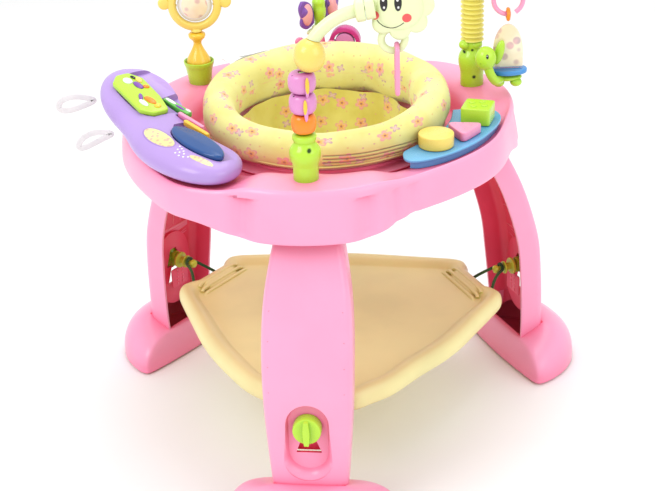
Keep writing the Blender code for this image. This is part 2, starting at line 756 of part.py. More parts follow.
# one side of the cord: distance out, distance sideways, height
CORD_SIDE = [
    (CORD_EYE_R + 0.0015, 0.0335, CORD_EYE_Z - 0.004),
    (CORD_EYE_R + 0.0030, 0.0300, CORD_EYE_Z + 0.004),
    (0.262, 0.0215, KNOB_Z - 0.0145), (0.2735, 0.0125, KNOB_Z - 0.0050),
    (0.2810, 0.0098, KNOB_Z - 0.0015), (CORD_NECK_R, CORD_LOOP_R, CORD_LOOP_Z)]


def build_cord(key, azimuth):
    """one elastic cord: up from under the platform's chopped end and round
    the spool's neck"""
    loop = [(CORD_NECK_R, y, z) for y, z in
            ellipse((40, 90, 140), CORD_LOOP_R, centre=(0, CORD_LOOP_Z))]
    path = CORD_SIDE + loop + [(x, -y, z) for x, y, z in reversed(CORD_SIDE)]
    turn = turn_z(azimuth, 3)
    cord = tube("elastic_cord_" + key, [turn @ Vector(point) for point in path],
                CORD_R, origin=polar(0.270, azimuth, KNOB_Z))
    finish(cord, "elastic_cord")


# ----------------------------------------------------------------------- seat
RING_STEPS = 28
PAD_R = 0.1475
PAD_HALF_R = 0.0275
PAD_Z = 0.4885
PAD_HALF_Z = 0.0370
SLING_BOTTOM_Z = 0.305
SLING_TOP_Z = 0.4500
# radius, height
SEAT_RING = [
    (0.1530, 0.4502), (0.1545, 0.4495), (0.1545, 0.4462), (0.1700, 0.4450),
    (0.1720, 0.4430), (0.1700, 0.4406), (0.1510, 0.4406), (0.1488, 0.4390),
    (0.1488, 0.4022), (0.1450, 0.4022), (0.1450, 0.4495), (0.1460, 0.4502)]
LOCK_RING = [
    (0.1640, 0.4030), (0.1650, 0.4020), (0.1650, 0.3990), (0.1640, 0.3980),
    (0.1440, 0.3980), (0.1440, 0.4015), (0.1490, 0.4018), (0.1500, 0.4030)]
# radius, height above the sling's bottom; inside downside-up, then outside
SLING_INSIDE = [(0, 0.004), (0.055, 0.010), (0.088, 0.032), (0.112, 0.070),
                (0.127, 0.112)]
SLING_OUTSIDE = [(0.131, 0.110), (0.116, 0.067), (0.091, 0.028), (0.057, 0.006),
                 (0, 0)]


def build_seat_rings():
    finish(turned("seat_ring", SEAT_RING, steps=RING_STEPS, closed=True))
    finish(turned("seat_lock_ring", LOCK_RING, steps=RING_STEPS, closed=True))


def build_seat_pad():
    profile = []
    for i in range(10):
        angle = math.radians(90 - 36 * i)
        profile.append((PAD_R + PAD_HALF_R * signed_power(math.cos(angle), 0.8),
                        PAD_Z + PAD_HALF_Z * signed_power(math.sin(angle), 0.8)))
    finish(turned("seat_pad", profile, steps=RING_STEPS, closed=True))


def build_seat_sling():
    profile = [(radius, SLING_BOTTOM_Z + z) for radius, z in SLING_INSIDE]
    profile += [(0.1330, SLING_TOP_Z), (0.1370, SLING_TOP_Z)]
    profile += [(radius, SLING_BOTTOM_Z + z) for radius, z in SLING_OUTSIDE]
    sling = turned("seat_sling", profile, steps=24)
    for side, name in ((1, "right"), (-1, "left")):
        direction = Vector((0.62 * side, -0.62, -0.48)).normalized()
        frame = axis_frame((0.030 * side, -0.034, 0.372), direction)
        boolean(sling, turned("leg_opening_" + name, rod_profile(0.043, 0.12, 0.0),
                              frame, steps=14))
    finish(sling)


# ------------------------------------------- station posts, and front station
TOY_STEPS = 14
# lower end of every station's base: down to the deck, then the peg
PEG = [(PEG_R, STATION_Z), (PEG_R, PEG_BOTTOM_Z), (0, PEG_BOTTOM_Z)]
FRONT = STATION["front"]
BEAD_SHOULDER_Z = 0.5375         # the beads stand on this
BEAD_GAP = 0.0006
BEAD_HOLE_R = 0.0046
# radius, height
BEAD_POST = [
    (0, 0.6180), (0.0035, 0.6180), (0.0040, 0.6170), (0.0040, BEAD_SHOULDER_Z),
    (0.0125, 0.5370), (0.0158, 0.5340), (0.0155, 0.5290), (0.0135, 0.5255),
    (0.0150, 0.5225), (0.0195, 0.5170), (0.0208, 0.5110), (0.0200, 0.5040),
    (0.0172, 0.4960), (0.0165, 0.4920), (0.0165, STATION_Z)] + PEG
# bead profile: share of the radius, share of the half height
BEAD_SHAPE = [(0.60, 1), (0.86, 0.84), (0.98, 0.42), (1, 0),
              (0.98, -0.42), (0.86, -0.84), (0.60, -1)]
# from the bottom: name, height, radius, grip (height, azimuth)
BEADS = [("bead_orange", 0.0262, 0.0165, None),
         ("bead_pink_lower", 0.0270, 0.0178, (0.5700, -70)),
         ("bead_pink_upper", 0.0270, 0.0180, (0.6010, -62))]

BALL = Vector((FRONT.x + 0.0110, FRONT.y, 0.6408))
BALL_PROFILE = [
    (0, 0.0215), (0.0085, 0.0200), (0.0160, 0.0140), (0.0202, 0.0040),
    (0.0200, -0.0060), (0.0160, -0.0150), (0.0100, -0.0203), (0, -0.0209)]
# arm from the ball up to the daisy: x and y from the station, height
ARM = [Vector((FRONT.x + x, FRONT.y + y, z)) for x, y, z in (
    (0.0135, 0.001, 0.6560), (0.0205, 0.003, 0.6660), (0.0300, 0.005, 0.6755),
    (0.0410, 0.007, 0.6835), (0.0530, 0.009, 0.6895), (0.0640, 0.010, 0.6930),
    (0.0715, 0.011, 0.6940))]
ARM_END = ARM[-1]
ARM_END_STEP = ARM[-1] - ARM[-2]
COLLAR_PROFILE = [(0, 0.0085), (0.0130, 0.0085), (0.0140, 0.0070),
                  (0.0140, -0.0020), (0.0100, -0.0040), (0, -0.0040)]

DAISY = Vector((FRONT.x + 0.1225, FRONT.y + 0.0160, 0.6975))
DAISY_FRAME = basis_frame(DAISY, SIDE, UP, FACE)
DAISY_FACE = [(0, 0.0088), (0.0150, 0.0080), (0.0250, 0.0058), (0.0290, 0.0034),
              (0, 0.0034)]
DAISY_LOOP_R = 0.0130
DAISY_LINK_R = 0.0095
DAISY_LINK_STRAIGHT = 0.0460


def build_bead_post():
    finish(turned("bead_post", BEAD_POST,
                  Matrix.Translation((FRONT.x, FRONT.y, 0)), steps=TOY_STEPS))


def build_beads():
    """three beads stacked on the post; the pink ones have upright grips"""
    bottom = BEAD_SHOULDER_Z + GAP
    for name, height, radius, grip in BEADS:
        half = height / 2
        profile = [(BEAD_HOLE_R, half)]
        profile += [(radius * across, half * up) for across, up in BEAD_SHAPE]
        profile += [(BEAD_HOLE_R, -half)]
        bead = turned(name, profile,
                      Matrix.Translation((FRONT.x, FRONT.y, bottom + half)),
                      steps=TOY_STEPS, closed=True)
        if grip:
            grip_z, azimuth = grip
            centre = FRONT + polar(0.0178, azimuth, grip_z)
            boolean(bead, ellipsoid(name + "_grip", Matrix.Translation(centre),
                                    (0.0026, 0.0026, 0.0115), around=8, down=6),
                    "UNION")
        finish(bead)
        bottom += height + BEAD_GAP


def build_arm():
    finish(turned("arm_ball", BALL_PROFILE, Matrix.Translation(BALL)))
    # the arm starts inside the ball and is cut back to clear it
    arm = tube("curved_arm", [ARM[0] + (ARM[0] - ARM[1]) * 0.9] + ARM, 0.0082,
               origin=BALL)
    boolean(arm, turned("arm_collar", COLLAR_PROFILE,
                        axis_frame(ARM_END, ARM_END_STEP)), "UNION")
    boolean(arm, ellipsoid("arm_ball_clear", Matrix.Translation(BALL),
                           (0.0208, 0.0208, 0.0221), around=20, down=14))
    finish(arm)


def scallop(radius, depth, lobes, steps):
    outline = []
    for i in range(steps):
        angle = 2 * math.pi * i / steps
        reach = radius + depth * abs(math.cos(lobes * 0.5 * angle)) ** 0.6
        outline.append((reach * math.cos(angle), reach * math.sin(angle)))
    return outline


def build_daisy():
    """a scalloped body with a round face plate, a loop below, a stub to the arm"""
    daisy = plate("daisy_body", scallop(0.0330, 0.0085, 8, 48), -0.0110, 0.0030,
                  DAISY_FRAME, bevel=0.0030)
    loop = [(x, y, -0.004) for x, y in
            ellipse(range(0, 360, 30), DAISY_LOOP_R, centre=(-0.004, -0.0455))]
    boolean(daisy, tube("daisy_loop", loop, 0.0042, DAISY_FRAME, cyclic=True),
            "UNION")
    stub_frame = axis_frame(ARM_END + ARM_END_STEP.normalized() * 0.0090,
                            ARM_END_STEP)
    boolean(daisy, turned("daisy_stub", rod_profile(0.0080, 0.0120, 0.0),
                          stub_frame, steps=TOY_STEPS), "UNION")
    finish(daisy)
    finish(turned("daisy_face", DAISY_FACE, DAISY_FRAME, steps=28))


def build_daisy_link():
    """long link hanging through the daisy's loop, edge on to its face"""
    top = DAISY - UP * 0.0585 - SIDE * 0.004 - FACE * 0.004
    outline = (ellipse(range(0, 181, 30), DAISY_LINK_R)
               + ellipse(range(180, 361, 30), DAISY_LINK_R,
                         centre=(0, -DAISY_LINK_STRAIGHT)))
    finish(tube("daisy_link", [(x, y, 0) for x, y in outline], 0.0032,
                basis_frame(top, FACE, UP, -SIDE), cyclic=True))


# ----------------------------------------------------- left station: spinner
LEFT = STATION["left"]
LEFT_FRAME = Matrix.Translation((LEFT.x, LEFT.y, 0))
SPINNER_FRAME = basis_frame((LEFT.x, LEFT.y, 0.5935), SIDE, UP, FACE)
# radius, height
SPINNER_CUP = [
    (0, 0.5040), (0.0190, 0.5040), (0.0215, 0.5085), (0.0228, 0.5080),
    (0.0222, 0.5030), (0.0200, 0.4985), (0.0165, STATION_Z)] + PEG
SPINNER_STEM = [
    (0, 0.5525), (0.0095, 0.5520), (0.0128, 0.5490), (0.0124, 0.5440),
    (0.0085, 0.5405), (0.0060, 0.5370), (0.0060, 0.5330), (0.0085, 0.5270),
    (0.0140, 0.5170), (0.0178, 0.5095), (0.0183, 0.5045), (0, 0.5045)]
SPINNER_FOOT = [(0, 0.5580), (0.0070, 0.5580), (0.0085, 0.5530), (0, 0.5530)]
# radius, distance towards the face
SPINNER_HOOP = [
    (0.0300, 0.0070), (0.0360, 0.0062), (0.0395, 0.0030), (0.0395, -0.0030),
    (0.0360, -0.0062), (0.0300, -0.0070), (0.0272, -0.0040), (0.0272, 0.0040)]
SPINNER_EAR = [(0, 0.0045), (0.0075, 0.0038), (0.0095, 0.0), (0.0075, -0.0038),
               (0, -0.0045)]
SPINNER_DISC = [
    (0, 0.0095), (0.0110, 0.0085), (0.0200, 0.0055), (0.0252, 0.0012),
    (0.0252, -0.0012), (0.0200, -0.0055), (0.0110, -0.0085), (0, -0.0095)]


def build_spinner_stand():
    finish(turned("spinner_cup", SPINNER_CUP, LEFT_FRAME, steps=TOY_STEPS))
    finish(turned("spinner_stem", SPINNER_STEM, LEFT_FRAME, steps=TOY_STEPS))


def build_spinner():
    """hoop with two ears, a foot and axle ends; a disc inside it"""
    hoop = turned("spinner_frame", SPINNER_HOOP, SPINNER_FRAME, steps=24,
                  closed=True)
    for name, x in (("spinner_ear_0", -0.0445), ("spinner_ear_2", 0.0445)):
        ear_frame = SPINNER_FRAME @ Matrix.Translation((x, 0.0030, 0))
        boolean(hoop, turned(name, SPINNER_EAR, ear_frame, steps=TOY_STEPS), "UNION")
    boolean(hoop, turned("spinner_foot", SPINNER_FOOT, LEFT_FRAME, steps=TOY_STEPS),
            "UNION")
    for name, start, end in (("spinner_axle", -0.0300, -0.0262),
                             ("spinner_axle_b", 0.0262, 0.0300)):
        boolean(hoop, tube(name, [(start, 0, 0), (end, 0, 0)], 0.0016,
                           SPINNER_FRAME, steps=0), "UNION")
    finish(hoop)
    finish(turned("spinner_disc", SPINNER_DISC, SPINNER_FRAME, steps=18))


# ------------------------------------- right station: bendy tube and turtle
RIGHT = STATION["right"]
TURTLE = Vector((0.2540, 0.0830, 0.0))    # the turtle hangs over this spot
BENDY_BOTTOM_Z = 0.5422
BEND_Z = 0.660                   # the tube's half circle starts here
EYE_Z = 0.6325                   # centre of the cap's eyelet
LINK_R = 0.0210
HOOK_Z = EYE_Z - 2 * LINK_R
# local turtle frame: X sideways, Y up, Z towards the viewer of the shell
TURTLE_FRAME = basis_frame(TURTLE + UP * HOOK_Z, SIDE, UP, FACE)
# radius, height
TUBE_BASE = [
    (0, 0.5418), (0.0130, 0.5418), (0.0148, 0.5395), (0.0148, 0.5335),
    (0.0135, 0.5290), (0.0150, 0.5260), (0.0190, 0.5200), (0.0203, 0.5120),
    (0.0195, 0.5040), (0.0176, 0.4960), (0.0170, 0.4920),
    (0.0170, STATION_Z)] + PEG
TUBE_CAP = [
    (0, 0.6545), (0.0175, 0.6545), (0.0185, 0.6530), (0.0185, 0.6450),
    (0.0150, 0.6400), (0.0050, 0.6385), (0, 0.6385)]
TURTLE_NECK = [(-0.0100, -0.0935, 0.0060), (-0.0190, -0.0920, 0.0215),
               (-0.0270, -0.0800, 0.0260), (-0.0325, -0.0620, 0.0250)]


def build_bendy_tube():
    """up from its base, over a half circle and down to the cap"""
    finish(turned("tube_base", TUBE_BASE,
                  Matrix.Translation((RIGHT.x, RIGHT.y, 0)), steps=TOY_STEPS))
    across = TURTLE - RIGHT
    bend_r = across.length / 2
    across.normalize()
    middle = (RIGHT + TURTLE) / 2 + UP * BEND_Z
    path = [RIGHT + UP * z for z in (BENDY_BOTTOM_Z, 0.57, 0.60, 0.63, BEND_Z)]
    path += [middle + across * along + UP * rise
             for along, rise in ellipse(range(160, -1, -20), bend_r)]
    path.append(TURTLE + UP * 0.6550)
    finish(tube("bendy_tube", path, 0.0170, steps=2,
                origin=(RIGHT.x, RIGHT.y, BENDY_BOTTOM_Z)))


def small_ring(name, radius, thickness, frame):
    """closed ring in the frame's YZ plane"""
    points = [(0, y, z) for y, z in ellipse(range(0, 360, 30), radius)]
    return tube(name, points, thickness, frame, cyclic=True)


def build_tube_cap():
    cap = turned("tube_cap", TUBE_CAP, Matrix.Translation(TURTLE), steps=TOY_STEPS)
    frame = basis_frame(TURTLE + UP * EYE_Z, SIDE, -FACE, UP)
    boolean(cap, small_ring("cap_eyelet", 0.0062, 0.0018, frame), "UNION")
    finish(cap)


def build_turtle_link():
    frame = basis_frame(TURTLE + UP * (EYE_Z - LINK_R), SIDE, UP, FACE)
    points = [(x, y, 0) for x, y in ellipse(range(-60, 281, 17), LINK_R)]
    finish(tube("turtle_link", points, 0.0033, frame))


def build_turtle_shell():
    """arched plate with a hook on top and a sunk window in each face"""
    half_turn = range(0, 181, 20)
    arch = ([(0.0275, -0.0790)]
            + ellipse(half_turn, 0.0270, 0.0508, centre=(0.0005, -0.0575))
            + [(-0.0265, -0.0790)])
    opening = ellipse(half_turn, 0.0190, 0.0380, centre=(0.0005, -0.0540))
    shell = plate("turtle_shell", arch, -0.0065, 0.0065, TURTLE_FRAME, bevel=0.0018)
    boolean(shell, small_ring("shell_hook", 0.0072, 0.0026, TURTLE_FRAME), "UNION")
    for name, back, front in (("shell_window_a", 0.0045, 0.0200),
                              ("shell_window_b", -0.0200, -0.0045)):
        boolean(shell, plate(name, opening, back, front, TURTLE_FRAME))
    finish(shell)
    rim_frame = (TURTLE_FRAME @ Matrix.Translation((0, -0.0830, 0))
                 @ Matrix.Rotation(math.radians(90), 4, "X"))
    rim = ellipse(range(0, 360, 20), 0.0285, 0.0185, centre=(0.0005, 0))
    finish(plate("turtle_rim", rim, -0.0035, 0.0035, rim_frame, bevel=0.0020))


def turtle_lump(name, centre, radii, around, down):
    return ellipsoid(name, TURTLE_FRAME @ Matrix.Translation(centre), radii,
                     around, down)


def build_turtle_body():
    turtle = turtle_lump("turtle_body", (0, -0.0935, 0),
                         (0.0215, 0.0055, 0.0125), 12, 6)
    for name, x in (("turtle_foot_0", -0.0125), ("turtle_foot_1", 0.0125)):
        boolean(turtle, turtle_lump(name, (x, -0.1000, 0.004),
                                    (0.0085, 0.0065, 0.0085), 8, 6), "UNION")
    boolean(turtle, tube("turtle_neck", TURTLE_NECK, 0.0066, TURTLE_FRAME), "UNION")
    boolean(turtle, turtle_lump("turtle_head", (-0.0335, -0.0560, 0.0235),
                                (0.0150, 0.0175, 0.0140), 12, 8), "UNION")
    finish(turtle)


# ------------------------------------------------ right pocket: shape blocks
BLOCK_TRAY_TOP_Z = 0.4735
BLOCK_Z = BLOCK_TRAY_TOP_Z + 0.0004
# azimuth, radius
SHELF_EDGE = [
    (-49.5, 0.1830), (-52.0, 0.1930), (-53.6, 0.2050), (-53.2, 0.2150),
    (-51.0, 0.2215), (-47.0, 0.2265), (-41.0, 0.2312), (-35.0, 0.2345),
    (-29.0, 0.2375), (-23.0, 0.2405), (-17.0, 0.2430), (-11.0, 0.2458),
    (-6.0, 0.2480), (-2.0, 0.2475), (1.5, 0.2430), (4.0, 0.2350),
    (5.5, 0.2250), (5.5, 0.2130), (4.0, 0.1790), (-5.0, 0.1790),
    (-14.0, 0.1790), (-23.0, 0.1790), (-32.0, 0.1790), (-41.0, 0.1790)]
BASE_EDGE = [
    (-52.3, 0.2110), (-50.5, 0.2185), (-47.0, 0.2235), (-41.0, 0.2282),
    (-35.0, 0.2315), (-29.0, 0.2345), (-23.0, 0.2375), (-17.0, 0.2400),
    (-11.0, 0.2428), (-6.0, 0.2450), (-1.0, 0.2442), (2.0, 0.2385),
    (4.0, 0.2290), (4.5, 0.2110), (0.0, 0.2070), (-8.0, 0.2070),
    (-16.0, 0.2070), (-24.0, 0.2070), (-32.0, 0.2070), (-40.0, 0.2070),
    (-48.0, 0.2070)]
# name, outline, x, y, height
BLOCKS = [
    ("block_round", polygon(0.0245, 18, 0), 0.1616, -0.1187, 0.0180),
    ("block_triangle", rounded(polygon(0.0310, 3, -91), 0.006),
     0.1980, -0.0820, 0.0130),
    ("block_square", rounded(polygon(0.0290, 4, 34), 0.004),
     0.2150, -0.0290, 0.0240)]


def polar_outline(table):
    return [polar(radius, azimuth).xy for azimuth, radius in table]


def build_block_tray():
    """base in the pocket, with a wider shelf on top"""
    base = plate("block_tray", polar_outline(BASE_EDGE), DECK_POCKET_Z + 0.0006,
                 BLOCK_TRAY_TOP_Z - 0.0030)
    boolean(base, plate("block_tray_top", polar_outline(SHELF_EDGE), 0.4696,
                        BLOCK_TRAY_TOP_Z, bevel=0.0012), "UNION")
    finish(base)


def build_blocks():
    for name, outline, x, y, height in BLOCKS:
        finish(plate(name, outline, 0.0, height,
                     Matrix.Translation((x, y, BLOCK_Z)), bevel=0.0018))


# ----------------------------------- left pocket: electronic keyboard toy
# azimuth, centre radius, centre height, half width, half thickness
CASE = [
    (-112.8, 0.2400, 0.4740, 0.0080, 0.0050),
    (-113.8, 0.2405, 0.4750, 0.0230, 0.0110),
    (-116.0, 0.2415, 0.4762, 0.0350, 0.0150),
    (-119.5, 0.2430, 0.4775, 0.0430, 0.0180),
    (-124.0, 0.2450, 0.4788, 0.0475, 0.0198),
    (-130.0, 0.2460, 0.4800, 0.0490, 0.0213),
    (-137.0, 0.2470, 0.4815, 0.0495, 0.0225),
    (-144.0, 0.2470, 0.4845, 0.0490, 0.0235),
    (-150.0, 0.2460, 0.4880, 0.0475, 0.0230),
    (-155.0, 0.2465, 0.4925, 0.0465, 0.0220),
    (-160.0, 0.2510, 0.4985, 0.0510, 0.0215),
    (-166.0, 0.2580, 0.5060, 0.0550, 0.0215),
    (-172.0, 0.2650, 0.5135, 0.0540, 0.0210),
    (-177.0, 0.2710, 0.5195, 0.0470, 0.0185),
    (-180.5, 0.2760, 0.5235, 0.0330, 0.0130),
    (-182.5, 0.2780, 0.5255, 0.0180, 0.0070)]
CASE_SIDES = 16


def sloped_frame(origin, azimuth, slope):
    """X along the azimuth, dipping by slope degrees; Y level, towards the seat"""
    level = polar(1, azimuth + 90)
    tilt = Matrix.Rotation(math.radians(slope), 3, level)
    return basis_frame(origin, tilt @ polar(1, azimuth), level, tilt @ UP)


TOY_FRAME = sloped_frame((-0.1500, -0.1840, 0.4915), -43.0, 6.3)
PANEL_FRAME = sloped_frame((-0.2500, -0.0700, 0.5205), -52.0, 11.0)
BLUE_HALF_X, BLUE_HALF_Y = 0.0535, 0.0185
# name, x from and to, y from and to, in the toy's frame
KEYS = [("key_orange", -0.0610, -0.0080, 0.0205, 0.0272),
        ("key_pink", -0.0850, -0.0300, 0.0290, 0.0352),
        ("key_green", -0.1320, -0.0740, 0.0368, 0.0468)]
PANEL = [(-0.0560, -0.0100), (-0.0400, -0.0225), (0.0400, -0.0205),
         (0.0570, -0.0060), (0.0570, 0.0165), (0.0200, 0.0215),
         (-0.0350, 0.0215), (-0.0560, 0.0090)]


def case_ring(azimuth, radius, height, half_width, half_thickness):
    ring = []
    for i in range(CASE_SIDES):
        angle = 2 * math.pi * i / CASE_SIDES
        ring.append(polar(
            radius + half_width * signed_power(math.cos(angle), 0.85), azimuth,
            height + half_thickness * signed_power(math.sin(angle), 0.85)))
    return ring


def build_toy_case():
    """curved case, cut away on the seat side for the keys and the panel"""
    case = loft("toy_case", [case_ring(*station) for station in CASE])
    key_shelf = (ellipse(range(180, 361, 20), 1.03 * BLUE_HALF_X, 1.08 * BLUE_HALF_Y)
                 + [(0.0560, 0.0900), (-0.1360, 0.0900), (-0.1360, 0.0345),
                    (-0.0880, 0.0345), (-0.0880, 0.0275), (-0.0640, 0.0275),
                    (-0.0640, 0.0080)])
    boolean(case, plate("key_shelf", key_shelf, 0.0010, 0.0600, TOY_FRAME))
    panel_seat = ([(x * 1.018, y * 1.05) for x, y in PANEL[:5]]
                  + [(0.0580, 0.0600), (-0.0580, 0.0600), (-0.0580, 0.0090)])
    boolean(case, plate("panel_seat", panel_seat, -0.0015, 0.0300, PANEL_FRAME))
    finish(case)


def build_keys():
    finish(plate("key_blue", ellipse(range(0, 360, 18), BLUE_HALF_X, BLUE_HALF_Y),
                 0.0045, 0.0135, TOY_FRAME, bevel=0.0030, bevel_steps=1))
    for name, x0, x1, y0, y1 in KEYS:
        outline = rounded([(x0, y0), (x1, y0), (x1, y1), (x0, y1)], 0.0025)
        finish(plate(name, outline, 0.0045, 0.0125, TOY_FRAME, bevel=0.0018))


def build_picture_panel():
    """panel on the case's raised end"""
    finish(plate("picture_panel", rounded(PANEL, 0.007), 0.0, 0.0085, PANEL_FRAME,
                 bevel=0.0025, bevel_steps=1))


def build_strap(name, base, reach, drop, width):
    """a ribbon loop hanging out from the case"""
    points = []
    for i in range(18):
        angle = 2 * math.pi * i / 18
        out = 0.5 - 0.5 * math.cos(angle)
        lift = math.sin(angle) * width * (0.35 + 0.65 * out)
        points.append(base + reach * out + UP * (-drop * out * out + lift))
    strap = tube(name, points, 0.0007, cyclic=True, steps=0, extrude=0.0035,
                 origin=base)
    finish(strap, "strap_loop")


def build_straps():
    build_strap("strap_loop_far", base=polar(0.3260, -172, 0.5060),
                reach=polar(0.050, -168), drop=0.006, width=0.0130)
    build_strap("strap_loop_near", base=polar(0.3060, -158, 0.4840),
                reach=polar(0.046, -166), drop=0.014, width=0.0110)


# --------------------------------------------------- back station: butterfly
BACK_Y = polar(0.2200, 90.0).y
BUTTERFLY = Vector((-0.0330, BACK_Y, 0.5225))
ROLLER = Vector((0.0060, BACK_Y, 0.5030))
BACK_BASE = [(-0.0700, -0.0150), (0.0880, -0.0150), (0.0880, 0.0130),
             (-0.0700, 0.0130)]
# radius, height
BUTTERFLY_POST = [(0, 0.5220), (0.0060, 0.5220), (0.0075, 0.5080),
                  (0.0110, 0.4800), (0, 0.4800)]
BUTTERFLY_BODY = [
    (0, 0.0520), (0.0060, 0.0505), (0.0105, 0.0440), (0.0095, 0.0370),
    (0.0115, 0.0300), (0.0100, 0.0200), (0.0065, 0.0120), (0.0080, 0.0060),
    (0.0050, 0.0), (0, 0.0)]
ROLLER_PROFILE = [
    (0, 0.0080), (0.0140, 0.0080), (0.0150, 0.0065), (0.0150, -0.0065),
    (0.0140, -0.0080), (0, -0.0080)]
# sideways, up
WING = [
    (0.0120, 0.0130), (0.0200, 0.0080), (0.0290, 0.0060), (0.0370, 0.0110),
    (0.0395, 0.0190), (0.0360, 0.0260), (0.0400, 0.0330), (0.0410, 0.0430),
    (0.0350, 0.0510), (0.0250, 0.0500), (0.0160, 0.0420), (0.0120, 0.0300)]


def build_back_base():
    base = plate("back_toy_base", rounded(BACK_BASE, 0.010), 0.4732, 0.4860,
                 Matrix.Translation((0, BACK_Y, 0)), bevel=0.0030, bevel_steps=1)
    boolean(base, turned("butterfly_post", BUTTERFLY_POST,
                         Matrix.Translation((BUTTERFLY.x, BACK_Y, 0)),
                         steps=TOY_STEPS), "UNION")
    finish(base)


def build_roller():
    """roller under an open arch, both with their axis along Y"""
    arch = (ellipse(spread(-43, 223, 14), 0.0240)
            + ellipse(spread(223, -43, 12), 0.0175))
    frame = basis_frame(ROLLER, Vector((1, 0, 0)), UP, Vector((0, -1, 0)))
    finish(plate("roller_arch", arch, -0.0090, 0.0090, frame))
    finish(turned("roller", ROLLER_PROFILE, axis_frame(ROLLER, (0, -1, 0)),
                  steps=TOY_STEPS))


def build_butterfly():
    finish(turned("butterfly_body", BUTTERFLY_BODY, Matrix.Translation(BUTTERFLY)))
    turn = turn_z(50, 3)
    frame = basis_frame(BUTTERFLY, turn @ Vector((1, 0, 0)), UP,
                        turn @ Vector((0, -1, 0)))
    mirrored = [(-x, y) for x, y in reversed(WING)]
    for name, side, outline in (("right", 1, WING), ("left", -1, mirrored)):
        wing = plate("butterfly_wing_" + name, outline, -0.0028, 0.0028, frame,
                     bevel=0.0012)
        dome_frame = frame @ Matrix.Translation((side * 0.0270, 0.0330, 0))
        boolean(wing, ellipsoid("wing_dome_" + name, dome_frame,
                                (0.0120, 0.0120, 0.0085), around=14, down=8),
                "UNION")
        finish(wing, "butterfly_wing")


# ------------------------------------------------------------------- assembly
def build_jumper():
    build_tray()
    build_legs()
    for key, azimuth in LEG_AZIMUTHS.items():
        build_spool(key, azimuth)
        build_knob(key, azimuth)
    build_platform()
    for key, azimuth in LEG_AZIMUTHS.items():
        build_cord(key, azimuth)
    build_seat_rings()
    build_seat_pad()
    build_seat_sling()

    build_bead_post()
    build_beads()
    build_arm()
    build_daisy()
    build_daisy_link()

    build_spinner_stand()
    build_spinner()

    build_bendy_tube()
    build_tube_cap()
    build_turtle_link()
    build_turtle_shell()
    build_turtle_body()

    build_block_tray()
    build_blocks()

    build_toy_case()
    build_keys()
    build_picture_panel()
    build_straps()

    build_back_base()
    build_roller()
    build_butterfly()


build_jumper()
# put the origin under the middle of the footprint
for obj in bpy.data.objects:
    obj.location = obj.location - FOOTPRINT_MIDDLE
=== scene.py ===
"""Looks of a baby activity jumper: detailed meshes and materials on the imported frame.

Metres, +Z up. The product stands on z = 0 round the Z axis, with its front towards -Y and its
right towards +X. Three legs carry a ring-shaped tray with a turning seat in its hole, a bounce
platform hangs between them on cords, and toys stand on the tray.
"""
import json
import math

import bmesh
import bpy
import numpy as np
from mathutils import Matrix, Vector, noise
from mathutils.bvhtree import BVHTree

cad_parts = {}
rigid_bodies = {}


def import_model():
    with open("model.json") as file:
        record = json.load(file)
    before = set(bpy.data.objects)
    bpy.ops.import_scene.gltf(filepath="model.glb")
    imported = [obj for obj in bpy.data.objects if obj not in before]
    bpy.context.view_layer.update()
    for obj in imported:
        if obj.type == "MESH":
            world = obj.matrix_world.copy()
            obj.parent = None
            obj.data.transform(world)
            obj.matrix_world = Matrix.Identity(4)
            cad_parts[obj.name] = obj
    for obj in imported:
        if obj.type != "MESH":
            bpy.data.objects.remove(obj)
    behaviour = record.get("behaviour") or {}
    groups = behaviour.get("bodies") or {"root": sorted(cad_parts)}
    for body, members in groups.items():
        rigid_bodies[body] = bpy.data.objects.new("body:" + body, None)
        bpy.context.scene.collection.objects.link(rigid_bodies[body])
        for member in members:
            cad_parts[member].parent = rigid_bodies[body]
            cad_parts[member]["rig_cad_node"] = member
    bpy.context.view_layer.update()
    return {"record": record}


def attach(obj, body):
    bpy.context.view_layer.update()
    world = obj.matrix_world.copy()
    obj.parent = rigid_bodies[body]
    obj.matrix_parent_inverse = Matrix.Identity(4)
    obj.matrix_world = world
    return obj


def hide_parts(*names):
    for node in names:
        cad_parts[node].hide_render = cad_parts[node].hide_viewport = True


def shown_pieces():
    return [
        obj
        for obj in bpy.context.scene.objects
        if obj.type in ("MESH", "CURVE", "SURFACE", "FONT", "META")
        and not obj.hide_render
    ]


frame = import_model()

NODE_BODY = {node: body for body, nodes in frame["record"]["behaviour"]["bodies"].items()
             for node in nodes}
ROW_ORIGIN = Vector((-0.005, -0.072, 0.0))
GAP = 0.0003
UP = Vector((0, 0, 1))
LEG_AZ = {"front": -90.0, "right": 30.0, "left": 150.0}

# tray
TRAY_Z0 = 0.402                  # lower edge of the skirt at the lobes
TRAY_Z1 = 0.418                  # lower edge of the skirt between the lobes
DECK_LOBE_Z = 0.4725             # deck over each leg
DECK_POCKET_Z = 0.4600           # floor of the right pocket
POCKET_LIP_Z = 0.4690            # lip outside it
LEFT_DECK_Z = 0.4575             # floor of the left pocket
LEFT_LIP_Z = 0.4630              # lip outside it
DECK_BACK_Z = 0.4680             # deck behind the seat
DECK_INNER_R = 0.2050            # inner edge of the deck
WALL = 0.0035
WELL_Z = 0.4400                  # floor of the well round the seat
HOLE_R = 0.152                   # hole the seat turns in
TRAY_SEGMENTS = 54
